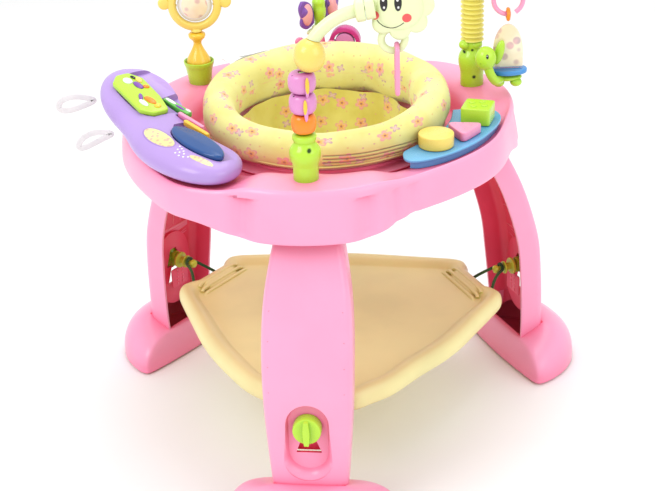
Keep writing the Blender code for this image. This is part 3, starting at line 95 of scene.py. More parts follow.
# plan of the skirt's lower edge: azimuth in degrees, radius
TRAY_PLAN = [(-180, 0.297), (-170, 0.295), (-160, 0.290), (-150, 0.288),
             (-141, 0.289), (-131, 0.295), (-125, 0.298), (-119, 0.290),
             (-115, 0.285), (-109, 0.287), (-102, 0.290), (-91, 0.290),
             (-84, 0.288), (-77, 0.284), (-71, 0.278), (-65, 0.266),
             (-58, 0.256), (-50, 0.2535), (-42, 0.2535), (-33, 0.256),
             (-23, 0.260), (-12, 0.262), (-3, 0.262), (3, 0.268), (9, 0.279),
             (16, 0.287), (24, 0.291), (30, 0.291), (42, 0.291), (50, 0.287),
             (57, 0.276), (64, 0.262), (72, 0.255), (81, 0.253), (90, 0.252),
             (99, 0.253), (108, 0.255), (116, 0.262), (123, 0.276),
             (130, 0.287), (140, 0.292), (150, 0.293), (161, 0.295),
             (171, 0.297)]

# legs: height, radius of the open inner edge, half width
LEG_KEYS = [(0.020, 0.2990, 0.0470), (0.070, 0.2980, 0.0520), (0.120, 0.2950, 0.0560),
            (0.170, 0.2908, 0.0592), (0.220, 0.2850, 0.0607), (0.270, 0.2715, 0.0608),
            (0.320, 0.2540, 0.0580), (0.370, 0.2315, 0.0500), (0.415, 0.2100, 0.0400),
            (0.440, 0.2065, 0.0380), (0.4685, 0.2065, 0.0370)]
LEG_DEPTH = 0.043
LEG_WALL = 0.0040
LEG_Z = (0.045, 0.4685)
LEG_STEPS = 84
FOOT_Z0 = 0.003                  # the rubber pad is under this
FOOT_EDGE_Z = 0.012
FOOT_CENTRE_R = 0.335
# foot plan, half: distance out from the Z axis, distance sideways
FOOT_PLAN = [(0.2830, 0.000), (0.2842, 0.040), (0.2868, 0.080), (0.2905, 0.108),
             (0.2965, 0.1155), (0.3110, 0.1150), (0.3320, 0.1080), (0.3560, 0.0950),
             (0.3790, 0.0740), (0.3960, 0.0460), (0.4035, 0.0200), (0.4045, 0.000)]
# rise of the foot's dome from its edge (0) to the leg (1), as sines of these degrees
FOOT_RISE = [math.sin(math.radians(a))
             for a in (0, 6, 12, 18, 24, 30, 37, 44, 51, 58, 65, 72, 79, 85, 90)]

# platform height setting
KNOB_Z = 0.1555
KNOB_STEP = 0.0300                  # two heights, one step down
RECESS_Z = (0.0885, 0.1875)         # floor of the recess
RECESS_MOUTH_Z = (0.0765, 0.1985)   # its mouth, on the leg's face
RECESS_HALF = 0.0265
RECESS_MOUTH_HALF = 0.0335
RECESS_FLOOR_R = 0.3255
SPOOL_TIP_R = 0.2750
KNOB_R = 0.0195
KNOB_FACE_R = 0.3490

# platform
PLAT_TOP_Z = 0.1530
PLAT_BOTTOM_Z = 0.1240
PLAT_SCALE = 1.018

# seat
PAD_R = 0.1475
PAD_HALF_R = 0.0275
PAD_Z = 0.4885
PAD_HALF_Z = 0.0370

# toy stations on the three lobes
STATION_R = 0.234
STATION_Z = DECK_LOBE_Z + 0.0005

# ------------------------------------------------------------------- helpers
scene = bpy.context.scene
WORK = "wip."      # name prefix of unfinished objects
PARTS = {}         # CAD node -> object standing for it
DETAILS = []       # (object, body, material)


def polar(radius, azimuth, z=0.0):
    angle = math.radians(azimuth)
    return Vector((radius * math.cos(angle), radius * math.sin(angle), z))


STATION = {key: polar(STATION_R, azimuth) for key, azimuth in LEG_AZ.items()}


def shift(x, y, z):
    return Matrix.Translation((x, y, z))


def turn_z(degrees):
    return Matrix.Rotation(math.radians(degrees), 4, "Z")


def axis_frame(origin, direction):
    """Local Z along the direction."""
    turn = UP.rotation_difference(Vector(direction))
    return Matrix.Translation(Vector(origin)) @ turn.to_matrix().to_4x4()


def basis_frame(origin, x, y, z):
    return Matrix.Translation(Vector(origin)) @ Matrix((x, y, z)).transposed().to_4x4()


def radial_frame(azimuth, radius, z):
    """Local X sideways, Y up, Z outwards."""
    outward = polar(1, azimuth)
    return basis_frame(polar(radius, azimuth, z), UP.cross(outward), UP, outward)


# the toys face a little to the right of the front
TOY_TURN = math.radians(7)
FACE = Vector((math.sin(TOY_TURN), -math.cos(TOY_TURN), 0.0))
SIDE = Vector((math.cos(TOY_TURN), math.sin(TOY_TURN), 0.0))


def facing(origin):
    """Local X to the right, Y up, Z the way the toys face."""
    return basis_frame(origin, SIDE, UP, FACE)


def spot(station, across, height, out=0.0):
    """Facing frame beside and in front of a station's axis."""
    return facing(station + SIDE * across + FACE * out + UP * height)


def arc(radius_x, radius_y, start, end, steps, x=0.0, y=0.0):
    angles = [math.radians(start + (end - start) * i / steps) for i in range(steps + 1)]
    return [(x + radius_x * math.cos(a), y + radius_y * math.sin(a)) for a in angles]


def ellipse(radius_x, radius_y, x=0.0, y=0.0, count=28, turn=0.0):
    cosine, sine = math.cos(math.radians(turn)), math.sin(math.radians(turn))
    return [(x + radius_x * math.cos(a) * cosine - radius_y * math.sin(a) * sine,
             y + radius_x * math.cos(a) * sine + radius_y * math.sin(a) * cosine)
            for a in (2 * math.pi * i / count for i in range(count))]


def rectangle(x0, x1, y0, y1):
    return [(x0, y0), (x1, y0), (x1, y1), (x0, y1)]


def rounded(points, radius):
    """Fillet each corner of a convex outline."""
    out = []
    for i in range(len(points)):
        corner = Vector(points[i])
        before = (Vector(points[i - 1]) - corner).normalized()
        after = (Vector(points[(i + 1) % len(points)]) - corner).normalized()
        half = math.acos(max(-1, min(1, before.dot(after)))) / 2
        cut = radius / math.tan(half)
        centre = corner + (before + after).normalized() * (radius / math.sin(half))
        start = corner + before * cut - centre
        end = corner + after * cut - centre
        first = math.atan2(start.y, start.x)
        sweep = (math.atan2(end.y, end.x) - first + math.pi) % (2 * math.pi) - math.pi
        for k in range(4):
            angle = first + sweep * k / 3
            out.append((centre.x + radius * math.cos(angle),
                        centre.y + radius * math.sin(angle)))
    return out


def round_corner(start, corner, end, steps):
    return [start * (1 - t) ** 2 + corner * 2 * t * (1 - t) + end * t * t
            for t in (k / steps for k in range(steps + 1))]


def soften(points, closed, sharp, steps=3):
    """Rounded corners: wide where the turn is shallow, at most `sharp` where it is not."""
    points = [Vector(p) for p in points]
    out = []
    for i, point in enumerate(points):
        if not closed and i in (0, len(points) - 1):
            out.append(point)
            continue
        before = points[i - 1] - point
        after = points[(i + 1) % len(points)] - point
        size_a, size_b = before.length, after.length
        if size_a < 1e-7 or size_b < 1e-7:
            continue
        turn = math.degrees(math.pi - before.angle(after))
        if turn < 2.0:
            out.append(point)
            continue
        if turn < 48.0:
            cut_a, cut_b = 0.49 * size_a, 0.49 * size_b
        else:
            cut_a, cut_b = min(sharp, 0.45 * size_a), min(sharp, 0.45 * size_b)
        out += round_corner(point + before * (cut_a / size_a), point,
                            point + after * (cut_b / size_b), steps)
    return [tuple(p) for p in out]


def round_loop(points, limits):
    """Closed loop with every corner rounded; the same count of points each time."""
    out = []
    for i, point in enumerate(points):
        before = points[i - 1] - point
        after = points[(i + 1) % len(points)] - point
        cut = min(limits[i], 0.47 * before.length, 0.47 * after.length)
        out += round_corner(point + before.normalized() * cut, point,
                            point + after.normalized() * cut, 4)
    return out


def resample(path, step):
    """Points at an even spacing along a path, with its last point."""
    points = [Vector(p) for p in path]
    out, carry = [points[0].copy()], 0.0
    for a, b in zip(points, points[1:]):
        length = (b - a).length
        if length < 1e-9:
            continue
        t = step - carry
        while t <= length:
            out.append(a + (b - a) * (t / length))
            t += step
        carry = length - (t - step)
    out.append(points[-1].copy())
    return out


def new_object(name, mesh, matrix=None):
    obj = bpy.data.objects.new(WORK + name, mesh)
    obj["label"] = name
    scene.collection.objects.link(obj)
    if matrix is not None:
        obj.matrix_basis = matrix
    return obj


def add_part(obj):
    PARTS[obj["label"]] = obj
    return obj


def add_detail(obj, body, material, name=None):
    obj.name = name or obj["label"]
    DETAILS.append((obj, body, material))


def outward_normals(bm):
    bmesh.ops.recalc_face_normals(bm, faces=bm.faces)
    if bm.calc_volume(signed=True) < 0:
        bmesh.ops.reverse_faces(bm, faces=bm.faces)


def to_mesh(name, bm):
    mesh = bpy.data.meshes.new(name)
    bm.to_mesh(mesh)
    bm.free()
    return mesh


def from_bmesh(name, bm, matrix=None):
    outward_normals(bm)
    return new_object(name, to_mesh(name, bm), matrix)


def skin(bm, rows, skipped=None):
    """Faces between each row and the next, wrapping round; one column may be left open."""
    count = len(rows[0])
    for i, row in enumerate(rows):
        following = rows[(i + 1) % len(rows)]
        for k in range(count):
            if k == skipped:
                continue
            j = (k + 1) % count
            corners = list(dict.fromkeys((row[k], following[k], following[j], row[j])))
            if len(corners) > 2:
                bm.faces.new(corners)


def turned(name, profile, matrix=None, closed=False):
    """Revolve a profile of (radius, height) about Z, its corners softened."""
    profile = [(p[0], p[2]) for p in
               soften([(radius, 0.0, z) for radius, z in profile], closed, sharp=0.0010)]
    widest = max(radius for radius, z in profile)
    steps = 40 if widest < 0.012 else 56 if widest < 0.06 else 160
    bm = bmesh.new()
    rows = []
    for i in range(steps):
        angle = 2 * math.pi * i / steps
        rows.append([bm.verts.new((radius * math.cos(angle), radius * math.sin(angle), z))
                     if radius > 1e-6 else None for radius, z in profile])
    for k, (radius, z) in enumerate(profile):
        if radius <= 1e-6:
            pole = bm.verts.new((0, 0, z))
            for row in rows:
                row[k] = pole
    skin(bm, rows, None if closed else len(profile) - 1)
    return from_bmesh(name, bm, matrix)


def cylinder(radius, bottom, top, matrix):
    """A cutter."""
    return turned("cutter", [(0, top), (radius, top), (radius, bottom), (0, bottom)], matrix)


def loft(name, rings, levels=0, closed=False):
    """Closed loops of equal vertex count, joined in order; capped unless closed."""
    bm = bmesh.new()
    loops = [[bm.verts.new(p) for p in ring] for ring in rings]
    count = len(rings[0])
    pairs = list(zip(loops, loops[1:]))
    if closed:
        pairs.append((loops[-1], loops[0]))
    for a, b in pairs:
        for i in range(count):
            j = (i + 1) % count
            bm.faces.new((a[i], a[j], b[j], b[i]))
    if not closed:
        bm.faces.new(loops[0])
        bm.faces.new(list(reversed(loops[-1])))
    obj = from_bmesh(name, bm)
    if levels:
        subdivide(obj, levels)
    return obj


def subdivide(obj, levels):
    modifier = obj.modifiers.new("fine", "SUBSURF")
    modifier.levels = modifier.render_levels = levels


def curve_to_mesh(name, curve, points, cyclic, matrix):
    """Give the curve a polyline of 3D points and turn it into a mesh object."""
    spline = curve.splines.new("POLY")
    spline.points.add(len(points) - 1)
    for target, point in zip(spline.points, points):
        target.co = (*point, 1)
    spline.use_cyclic_u = cyclic
    temporary = bpy.data.objects.new(name + "_curve", curve)
    scene.collection.objects.link(temporary)
    depsgraph = bpy.context.evaluated_depsgraph_get()
    depsgraph.update()
    mesh = bpy.data.meshes.new_from_object(temporary.evaluated_get(depsgraph))
    bpy.data.objects.remove(temporary, do_unlink=True)
    bm = bmesh.new()
    bm.from_mesh(mesh)
    bmesh.ops.remove_doubles(bm, verts=bm.verts, dist=0.00001)
    outward_normals(bm)
    bm.to_mesh(mesh)
    bm.free()
    return new_object(name, mesh, matrix)


def plate(name, outline, bottom, top, matrix=None, bevel=0.0):
    """Flat closed outline in local XY, thick from bottom to top."""
    if bevel == 0.0:
        bevel = min(0.0005, (top - bottom) * 0.2)
    curve = bpy.data.curves.new(name, "CURVE")
    curve.dimensions = "2D"
    curve.fill_mode = "BOTH"
    curve.extrude = (top - bottom) / 2 - bevel
    curve.bevel_depth = bevel
    curve.bevel_resolution = 3 if bevel > 0.0008 else 1
    curve.offset = -bevel
    points = soften([(x, y, 0.0) for x, y in outline], True, sharp=0.0012)
    return curve_to_mesh(name, curve, points, True,
                         (matrix or Matrix()) @ shift(0, 0, (bottom + top) / 2))


def tube(name, points, radius, matrix=None, cyclic=False, extrude=0.0):
    curve = bpy.data.curves.new(name, "CURVE")
    curve.dimensions = "3D"
    curve.bevel_depth = radius
    curve.bevel_resolution = 5 if extrude == 0 else 3
    curve.extrude = extrude
    curve.use_fill_caps = True
    return curve_to_mesh(name, curve, soften(points, cyclic, sharp=0.003), cyclic,
                         matrix or Matrix())


def ellipsoid(name, radii, matrix, segments=32, rings=20):
    bm = bmesh.new()
    bmesh.ops.create_uvsphere(bm, u_segments=segments, v_segments=rings, radius=1.0)
    bmesh.ops.scale(bm, verts=bm.verts, vec=Vector(radii))
    return new_object(name, to_mesh(name, bm), matrix)


def box(name, low, high, matrix=None):
    low, high = Vector(low), Vector(high)
    bm = bmesh.new()
    bmesh.ops.create_cube(bm, size=1.0)
    bmesh.ops.scale(bm, verts=bm.verts, vec=high - low)
    return new_object(name, to_mesh(name, bm),
                      (matrix or Matrix()) @ Matrix.Translation((low + high) / 2))


def boolean(obj, other, operation="DIFFERENCE"):
    modifier = obj.modifiers.new(operation.lower(), "BOOLEAN")
    modifier.operation = operation
    modifier.object = other
    modifier.solver = "EXACT"


def apply_all(obj):
    """Keep the evaluated mesh in world space and drop the modifiers."""
    depsgraph = bpy.context.evaluated_depsgraph_get()
    depsgraph.update()
    mesh = bpy.data.meshes.new_from_object(obj.evaluated_get(depsgraph))
    mesh.transform(obj.matrix_world)
    obj.modifiers.clear()
    obj.data = mesh
    obj.matrix_basis = Matrix()


def hermite(x, keys, values):
    """Smooth curve through keys, flat past its ends."""
    last = len(keys) - 1
    if x <= keys[0]:
        return values[0]
    if x >= keys[-1]:
        return values[-1]
    i = max(k for k in range(last) if keys[k] <= x)
    span = keys[i + 1] - keys[i]

    def slope(k):
        a, b = max(k - 1, 0), min(k + 1, last)
        return (values[b] - values[a]) / (keys[b] - keys[a])
    t = (x - keys[i]) / span
    slope_a, slope_b = slope(i) * span, slope(i + 1) * span
    return ((2 * t**3 - 3 * t**2 + 1) * values[i] + (t**3 - 2 * t**2 + t) * slope_a
            + (-2 * t**3 + 3 * t**2) * values[i + 1] + (t**3 - t**2) * slope_b)


def smoothstep(x, a, b):
    t = min(1.0, max(0.0, (x - a) / (b - a)))
    return t * t * (3 - 2 * t)


def wrap(degrees):
    return (degrees + 180) % 360 - 180


def window(azimuth, start, end, ramp):
    """1 between start and end (degrees, start < end), falling to 0 over ramp."""
    half = (end - start) / 2
    return 1 - smoothstep(abs(wrap(azimuth - (start + end) / 2)), half, half + ramp)


def bell(x, centre, width):
    return math.exp(-((x - centre) / width) ** 2)


def hump(azimuth, centre, width):
    return bell(wrap(azimuth - centre), 0.0, width)


def signed_power(x, exponent):
    return math.copysign(abs(x) ** exponent, x)


# ---------------------------------------------------------------------- tray
# the plan with two points repeated past each end, so that it closes smoothly
PLAN_AZ, PLAN_R = zip(*([(a - 360, r) for a, r in TRAY_PLAN[-2:]] + TRAY_PLAN
                        + [(a + 360, r) for a, r in TRAY_PLAN[:2]]))


def deck_heights(azimuth):
    """Height of the outer lip, height of the deck inside it."""
    left, right = window(azimuth, -158, -112, 4), window(azimuth, -60, 8, 5)
    back = window(azimuth, 72, 108, 10)

    def height(right_z, left_z):
        return (DECK_LOBE_Z + (right_z - DECK_LOBE_Z) * right
                + (left_z - DECK_LOBE_Z) * left + (DECK_BACK_Z - DECK_LOBE_Z) * back)
    return height(POCKET_LIP_Z, LEFT_LIP_Z), height(DECK_POCKET_Z, LEFT_DECK_Z)


def tray_section(azimuth):
    """Upper face from the skirt in to the hole, then the underside back out."""
    lobe = max(window(azimuth, a - 18, a + 18, 14) for a in LEG_AZ.values())
    edge_z = TRAY_Z1 + (TRAY_Z0 - TRAY_Z1) * lobe
    lean = 0.004 + 0.006 * lobe
    edge_r = hermite(wrap(azimuth), PLAN_AZ, PLAN_R)
    top_r = edge_r - lean
    middle_r, middle_z = edge_r - lean * 0.4, edge_z + 0.024
    lip, deck = deck_heights(azimuth)
    outer, inner = top_r - 0.0100, DECK_INNER_R
    under_inner, under_outer = inner + 0.0012, outer - 0.0005
    upper = [(edge_r, edge_z), (middle_r, middle_z), (top_r, 0.4530),
             (top_r - 0.0025, lip - 0.0045), (top_r - 0.0070, lip),
             (outer, deck), (outer + (inner - outer) * 0.5, deck), (inner, deck),
             (0.1935, WELL_Z + 0.005), (0.1880, WELL_Z),
             (HOLE_R + 0.004, WELL_Z), (HOLE_R, WELL_Z - 0.003), (HOLE_R, 0.405)]
    under = [(HOLE_R + WALL, 0.405), (HOLE_R + WALL, WELL_Z - WALL - 0.001),
             (0.1885, WELL_Z - WALL), (0.1965, WELL_Z + 0.0025),
             (under_inner, deck - WALL),
             (under_outer + (under_inner - under_outer) * 0.5, deck - WALL),
             (under_outer, deck - WALL),
             (top_r - 0.0060, min(lip, deck + 0.005) - 0.0060),
             (top_r - WALL, 0.4510), (middle_r - WALL, middle_z), (edge_r - WALL, edge_z)]
    return [polar(radius, azimuth, z) for radius, z in upper + under]


tray = add_part(loft("tray", [tray_section(-180 + 360 * i / TRAY_SEGMENTS)
                              for i in range(TRAY_SEGMENTS)], levels=2, closed=True))
for station in STATION.values():
    boolean(tray, cylinder(0.0085, 0.44, 0.49, Matrix.Translation(station) @ turn_z(11)))

# ---------------------------------------------------------------------- legs
KEY_Z, KEY_RADII, KEY_HALVES = zip(*LEG_KEYS)


def leg_r(z):
    return hermite(z, KEY_Z, KEY_RADII)


def leg_w(z):
    return hermite(z, KEY_Z, KEY_HALVES)


def leg_section(z):
    """Open channel: round the outside, then back along the inside of the wall."""
    inner_r, half, wall = leg_r(z), leg_w(z), LEG_WALL
    outer_r = inner_r + LEG_DEPTH
    outside = [(inner_r, -half), (outer_r - 0.013, -half), (outer_r - 0.004, -0.92 * half),
               (outer_r - 0.0003, -0.55 * half)]
    outside += [(radius, -y) for radius, y in reversed(outside)]
    inside = [(inner_r, half - wall), (outer_r - 0.014, half - wall),
              (outer_r - 0.0003 - wall, 0.80 * half)]
    inside += [(radius, -y) for radius, y in reversed(inside)]
    return [Vector((radius, y, z)) for radius, y in outside + inside]


def leg_rings():
    # largest cut at each corner of the section
    limits = [0.0012, 0.010, 0.012, 0.03, 0.03, 0.012, 0.010, 0.0012,
              0.0008, 0.004, 0.004, 0.004, 0.004, 0.0008]
    low, high = LEG_Z
    return [round_loop(leg_section(low + (high - low) * i / LEG_STEPS), limits)
            for i in range(LEG_STEPS + 1)]


def mirrored(half):
    """Closed outline from the half on the +Y side."""
    return half + [(x, -y) for x, y in reversed(half[1:-1])]


def foot_rings(inset, floor_z):
    """Plan at the floor, bulging up to the leg's outline."""
    plan = []
    for radius, y in FOOT_PLAN:
        offset = Vector((radius - FOOT_CENTRE_R, y))
        plan.append((FOOT_CENTRE_R + offset.x * (1 - inset / 0.055), y * (1 - inset / 0.11)))
    inner, half = leg_r(0.06) - 0.0010 + inset, leg_w(0.08) + 0.0010 - inset
    outer = inner + LEG_DEPTH + 0.0030 - 2 * inset
    leg = [(inner, 0), (inner, 0.35 * half), (inner, 0.7 * half), (inner, 0.93 * half),
           (inner + 0.003, half), (inner + 0.012, half), (inner + 0.024, half),
           (outer - 0.009, 0.97 * half), (outer - 0.003, 0.85 * half),
           (outer - 0.0005, 0.55 * half), (outer, 0.3 * half), (outer, 0)]
    plan, leg = mirrored(plan), mirrored(leg)
    out = [[Vector((radius, y, floor_z)) for radius, y in plan]]
    for rise in FOOT_RISE:
        spread = math.sqrt(max(0.0, 1 - rise * rise))
        ring = []
        for (plan_r, plan_y), (ring_r, ring_y) in zip(plan, leg):
            top = 0.0512 + (ring_r - 0.2975) / 0.044 * 0.020 - inset
            ring.append(Vector((ring_r + (plan_r - ring_r) * spread,
                                ring_y + (plan_y - ring_y) * spread,
                                FOOT_EDGE_Z + (top - FOOT_EDGE_Z) * rise)))
        out.append(ring)
    return out


def fine_rings(rings):
    """Each ring resampled with five points to a side, on a smooth curve through its points."""
    out = []
    for ring in rings:
        fine = []
        for i in range(len(ring)):
            a, b, c, d = (ring[(i + j) % len(ring)] for j in (-1, 0, 1, 2))
            for t in (k / 5 for k in range(5)):
                fine.append(0.5 * (2 * b + (c - a) * t + (2 * a - 5 * b + 4 * c - d) * t * t
                                   + (3 * b - a - 3 * c + d) * t ** 3))
        out.append(fine)
    return out


def racetrack(half, low, high, steps=5):
    """Outline in (sideways, up)."""
    return ([(half * math.cos(math.pi * i / steps),
              high - half + half * math.sin(math.pi * i / steps))
             for i in range(steps + 1)]
            + [(half * math.cos(math.pi + math.pi * i / steps),
                low + half + half * math.sin(math.pi + math.pi * i / steps))
               for i in range(steps + 1)])


def slot_outline():
    """Two keyholes, one for each height, joined by a neck."""
    right = []
    for z in (KNOB_Z, KNOB_Z - KNOB_STEP):
        right += [(0.0065, z + 0.0165), (0.0175, z - 0.0125), (0.0065, z - 0.0125)]
    right = right[:-1]
    return right + [(-x, z) for x, z in reversed(right)]


def split_floor(obj, steps):
    """Part the floor of a racetrack-shaped cutter down its middle."""
    bm = bmesh.new()
    bm.from_mesh(obj.data)
    bm.verts.ensure_lookup_table()
    top, bottom = bm.verts[steps // 2], bm.verts[steps + 1 + steps // 2]
    face = next(f for f in top.link_faces if bottom in f.verts)
    bmesh.utils.face_split(face, top, bottom)
    bm.to_mesh(obj.data)
    bm.free()


def build_leg():
    """One leg with its foot, along +X; the three legs are turned copies of it."""
    leg = loft("leg_pattern", leg_rings())
    foot = loft("foot_pattern", fine_rings(foot_rings(0.0, FOOT_Z0)))
    hollow_z = FOOT_Z0 + 0.003
    chimney = [Vector((v.x, v.y, 0.085)) for v in foot_rings(0.0042, hollow_z)[-1]]
    hollow = loft("foot_hollow", fine_rings(foot_rings(0.0034, hollow_z) + [chimney]))
    radial = radial_frame(0.0, 0.0, 0.0)
    housing = plate("knob_housing",
                    racetrack(RECESS_MOUTH_HALF + 0.0042, RECESS_MOUTH_Z[0] - 0.0035,
                              RECESS_MOUTH_Z[1] + 0.0035), 0.3215, 0.3450, radial)
    # the housing is trimmed to the room inside the leg
    rings = []
    for z in (0.058, 0.100, 0.150, 0.220):
        inner, outer = leg_r(z) + 0.01, leg_r(z) + LEG_DEPTH - 0.0015
        rings.append([Vector((radius, y, z)) for radius, y in
                      ((inner, -0.045), (outer, -0.045), (outer, 0.045), (inner, 0.045))])
    boolean(housing, loft("leg_body", rings), "INTERSECT")
    # the recess narrows from its mouth to its floor: radius, then half width, bottom, top
    stations = (
        (RECESS_FLOOR_R, (RECESS_HALF - 0.0012, RECESS_Z[0] + 0.0012, RECESS_Z[1] - 0.0012)),
        (RECESS_FLOOR_R + 0.0004, (RECESS_HALF, *RECESS_Z)),
        (0.3300, (RECESS_HALF + 0.0012, RECESS_Z[0] - 0.0018, RECESS_Z[1] + 0.0018)),
        (0.3350, (RECESS_HALF + 0.0030, RECESS_Z[0] - 0.0050, RECESS_Z[1] + 0.0045)),
        (0.3385, (RECESS_MOUTH_HALF, *RECESS_MOUTH_Z)),
        (0.3720, (RECESS_MOUTH_HALF + 0.0010, RECESS_MOUTH_Z[0] - 0.0010,
                  RECESS_MOUTH_Z[1] + 0.0010)))
    recess = loft("knob_recess", [[radial @ Vector((x, y, radius))
                                   for x, y in racetrack(*shape, 16)]
                                  for radius, shape in stations])
    split_floor(recess, 16)
    slot = plate("height_slot", slot_outline(), 0.310, 0.345, radial)
    boolean(leg, foot, "UNION")
    boolean(leg, hollow)
    boolean(leg, housing, "UNION")
    boolean(leg, slot)
    boolean(leg, recess)
    apply_all(leg)
    bm = bmesh.new()
    bm.from_mesh(leg.data)
    bmesh.ops.triangulate(bm, faces=[f for f in bm.faces if len(f.verts) > 4],
                          ngon_method="BEAUTY")
    bm.to_mesh(leg.data)
    bm.free()
    return leg.data


leg_mesh = build_leg()
FOOT_PAD_PLAN = mirrored([(0.338 + (radius - 0.338) * 0.80, y * 0.84)
                          for radius, y in FOOT_PLAN])
for key, azimuth in LEG_AZ.items():
    add_part(new_object("leg_" + key, leg_mesh.copy(), turn_z(azimuth)))
    add_part(plate("foot_pad_" + key, FOOT_PAD_PLAN, 0.0, FOOT_Z0 - GAP, turn_z(azimuth)))


# ------------------------------------------------ height knobs, spools, cords
def build_height_set(key, azimuth):
    add_part(turned("cord_spool_" + key,
                    [(0, 0.0345), (0.0130, 0.0345), (0.0130, 0.0305), (0.0060, 0.0300),
                     (0.0060, 0.0210), (0.0100, 0.0205), (0.0100, 0.0180), (0.0040, 0.0175),
                     (0.0040, 0.0090), (0.0068, 0.0065), (0.0060, 0.0015), (0, 0.0)],
                    radial_frame(azimuth, SPOOL_TIP_R, KNOB_Z)))
    # the knob turns; its shaft runs through the slot to a lock cam
    base = radial_frame(azimuth, RECESS_FLOOR_R + 0.0006, KNOB_Z)
    depth = KNOB_FACE_R - RECESS_FLOOR_R - 0.0006
    knob = add_part(turned("height_knob_" + key,
                           [(0, depth - 0.006), (KNOB_R - 0.0020, depth - 0.006),
                            (KNOB_R, depth - 0.008), (KNOB_R, 0.0), (0.0046, 0.0),
                            (0.0046, -0.0155), (0, -0.0155)], base))
    rib = plate("rib", [(-0.0032, -0.0180), (0.0032, -0.0180), (0.0052, 0.0),
                        (0.0032, 0.0180), (-0.0032, 0.0180), (-0.0052, 0.0)],
                depth - 0.010, depth, base)
    cam = box("cam", (-0.0052, -0.0110, -0.0120), (0.0052, 0.0110, -0.0050), base)
    boolean(knob, rib, "UNION")
    boolean(knob, cam, "UNION")


def build_cord(key, azimuth):
    """One elastic cord: up from under the platform's chopped end, round the spool's neck."""
    end_r, end_z = 0.2520, PLAT_BOTTOM_Z + 0.004
    neck_r = SPOOL_TIP_R + 0.0133
    # radius, distance sideways, height
    side = [(end_r + 0.0015, 0.0335, end_z - 0.004), (end_r + 0.0030, 0.0300, end_z + 0.004),
            (0.262, 0.0215, KNOB_Z - 0.0145), (0.2735, 0.0125, KNOB_Z - 0.0050),
            (0.2810, 0.0098, KNOB_Z - 0.0015), (neck_r, 0.0070, KNOB_Z + 0.0005)]
    over = [(neck_r, y, z) for y, z in arc(0.0070, 0.0070, 40, 140, 2, y=KNOB_Z + 0.0005)]
    path = side + over + [(radius, -y, z) for radius, y, z in reversed(side)]
    add_part(tube("elastic_cord_" + key, [turn_z(azimuth) @ Vector(p) for p in path], 0.0024))


for key, azimuth in LEG_AZ.items():
    build_height_set(key, azimuth)
for key, azimuth in LEG_AZ.items():
    build_cord(key, azimuth)

# ---------------------------------------------------------------- seat rings
add_part(turned("seat_ring",
                [(0.1530, 0.4502), (0.1545, 0.4495), (0.1545, 0.4462), (0.1700, 0.4450),
                 (0.1720, 0.4430), (0.1700, 0.4406), (0.1510, 0.4406), (0.1488, 0.4390),
                 (0.1488, 0.4022), (0.1450, 0.4022), (0.1450, 0.4495), (0.1460, 0.4502)],
                closed=True))
add_part(turned("seat_lock_ring",
                [(0.1640, 0.4030), (0.1650, 0.4020), (0.1650, 0.3990), (0.1640, 0.3980),
                 (0.1440, 0.3980), (0.1440, 0.4015), (0.1490, 0.4018), (0.1500, 0.4030)],
                closed=True))

# --------------------------------------------------- front station: beads
FRONT = STATION["front"]
add_part(turned("bead_post",
                [(0, 0.6180), (0.0035, 0.6180), (0.0040, 0.6170), (0.0040, 0.5375),
                 (0.0125, 0.5370), (0.0158, 0.5340), (0.0155, 0.5290), (0.0135, 0.5255),
                 (0.0150, 0.5225), (0.0195, 0.5170), (0.0208, 0.5110), (0.0200, 0.5040),
                 (0.0172, 0.4960), (0.0165, 0.4920), (0.0165, STATION_Z),
                 (0.0080, STATION_Z), (0.0080, 0.4600), (0, 0.4600)],
                Matrix.Translation(FRONT)))


def bead(name, bottom, top, radius):
    middle, half = (bottom + top) / 2, (top - bottom) / 2
    # share of the radius, share of the half height
    upper = [(0.60, 1), (0.86, 0.84), (0.98, 0.42)]
    shares = upper + [(1, 0)] + [(wide, -high) for wide, high in reversed(upper)]
    profile = ([(0.0046, half)] + [(radius * wide, half * high) for wide, high in shares]
               + [(0.0046, -half)])
    return add_part(turned(name, profile, Matrix.Translation(FRONT + UP * middle),
                           closed=True))


bead("bead_orange", 0.5378, 0.5640, 0.0165)
lower_bead = bead("bead_pink_lower", 0.5646, 0.5916, 0.0178)
upper_bead = bead("bead_pink_upper", 0.5922, 0.6192, 0.0180)
# a small vertical grip on each pink bead
for obj, z, azimuth in ((lower_bead, 0.5700, -70), (upper_bead, 0.6010, -62)):
    grip = ellipsoid("grip", (0.0026, 0.0026, 0.0115), Matrix.Translation(FRONT + UP * z)
                     @ Matrix.Translation(polar(0.0178, azimuth)))
    boolean(obj, grip, "UNION")

BALL = Vector((FRONT.x + 0.0110, FRONT.y, 0.6408))
add_part(turned("arm_ball",
                [(0, 0.0215), (0.0085, 0.0200), (0.0160, 0.0140), (0.0202, 0.0040),
                 (0.0200, -0.0060), (0.0160, -0.0150), (0.0100, -0.0203), (0, -0.0209)],
                Matrix.Translation(BALL)))
# arm from the ball up to the daisy, measured from the station's axis
ARM = [Vector((FRONT.x + x, FRONT.y + y, z)) for x, y, z in (
    (0.0135, 0.001, 0.6560), (0.0205, 0.003, 0.6660), (0.0300, 0.005, 0.6755),
    (0.0410, 0.007, 0.6835), (0.0530, 0.009, 0.6895), (0.0640, 0.010, 0.6930),
    (0.0715, 0.011, 0.6940))]
ARM_END = ARM[-1] - ARM[-2]
arm = add_part(tube("curved_arm", [ARM[0] + (ARM[0] - ARM[1]) * 0.9] + ARM, 0.0082))
collar = turned("collar", [(0, 0.0085), (0.0130, 0.0085), (0.0140, 0.0070),
                           (0.0140, -0.0020), (0.0100, -0.0040), (0, -0.0040)],
                axis_frame(ARM[-1], ARM_END))
boolean(arm, collar, "UNION")
boolean(arm, ellipsoid("cutter", (0.0208, 0.0208, 0.0221), Matrix.Translation(BALL),
                       segments=40, rings=28))

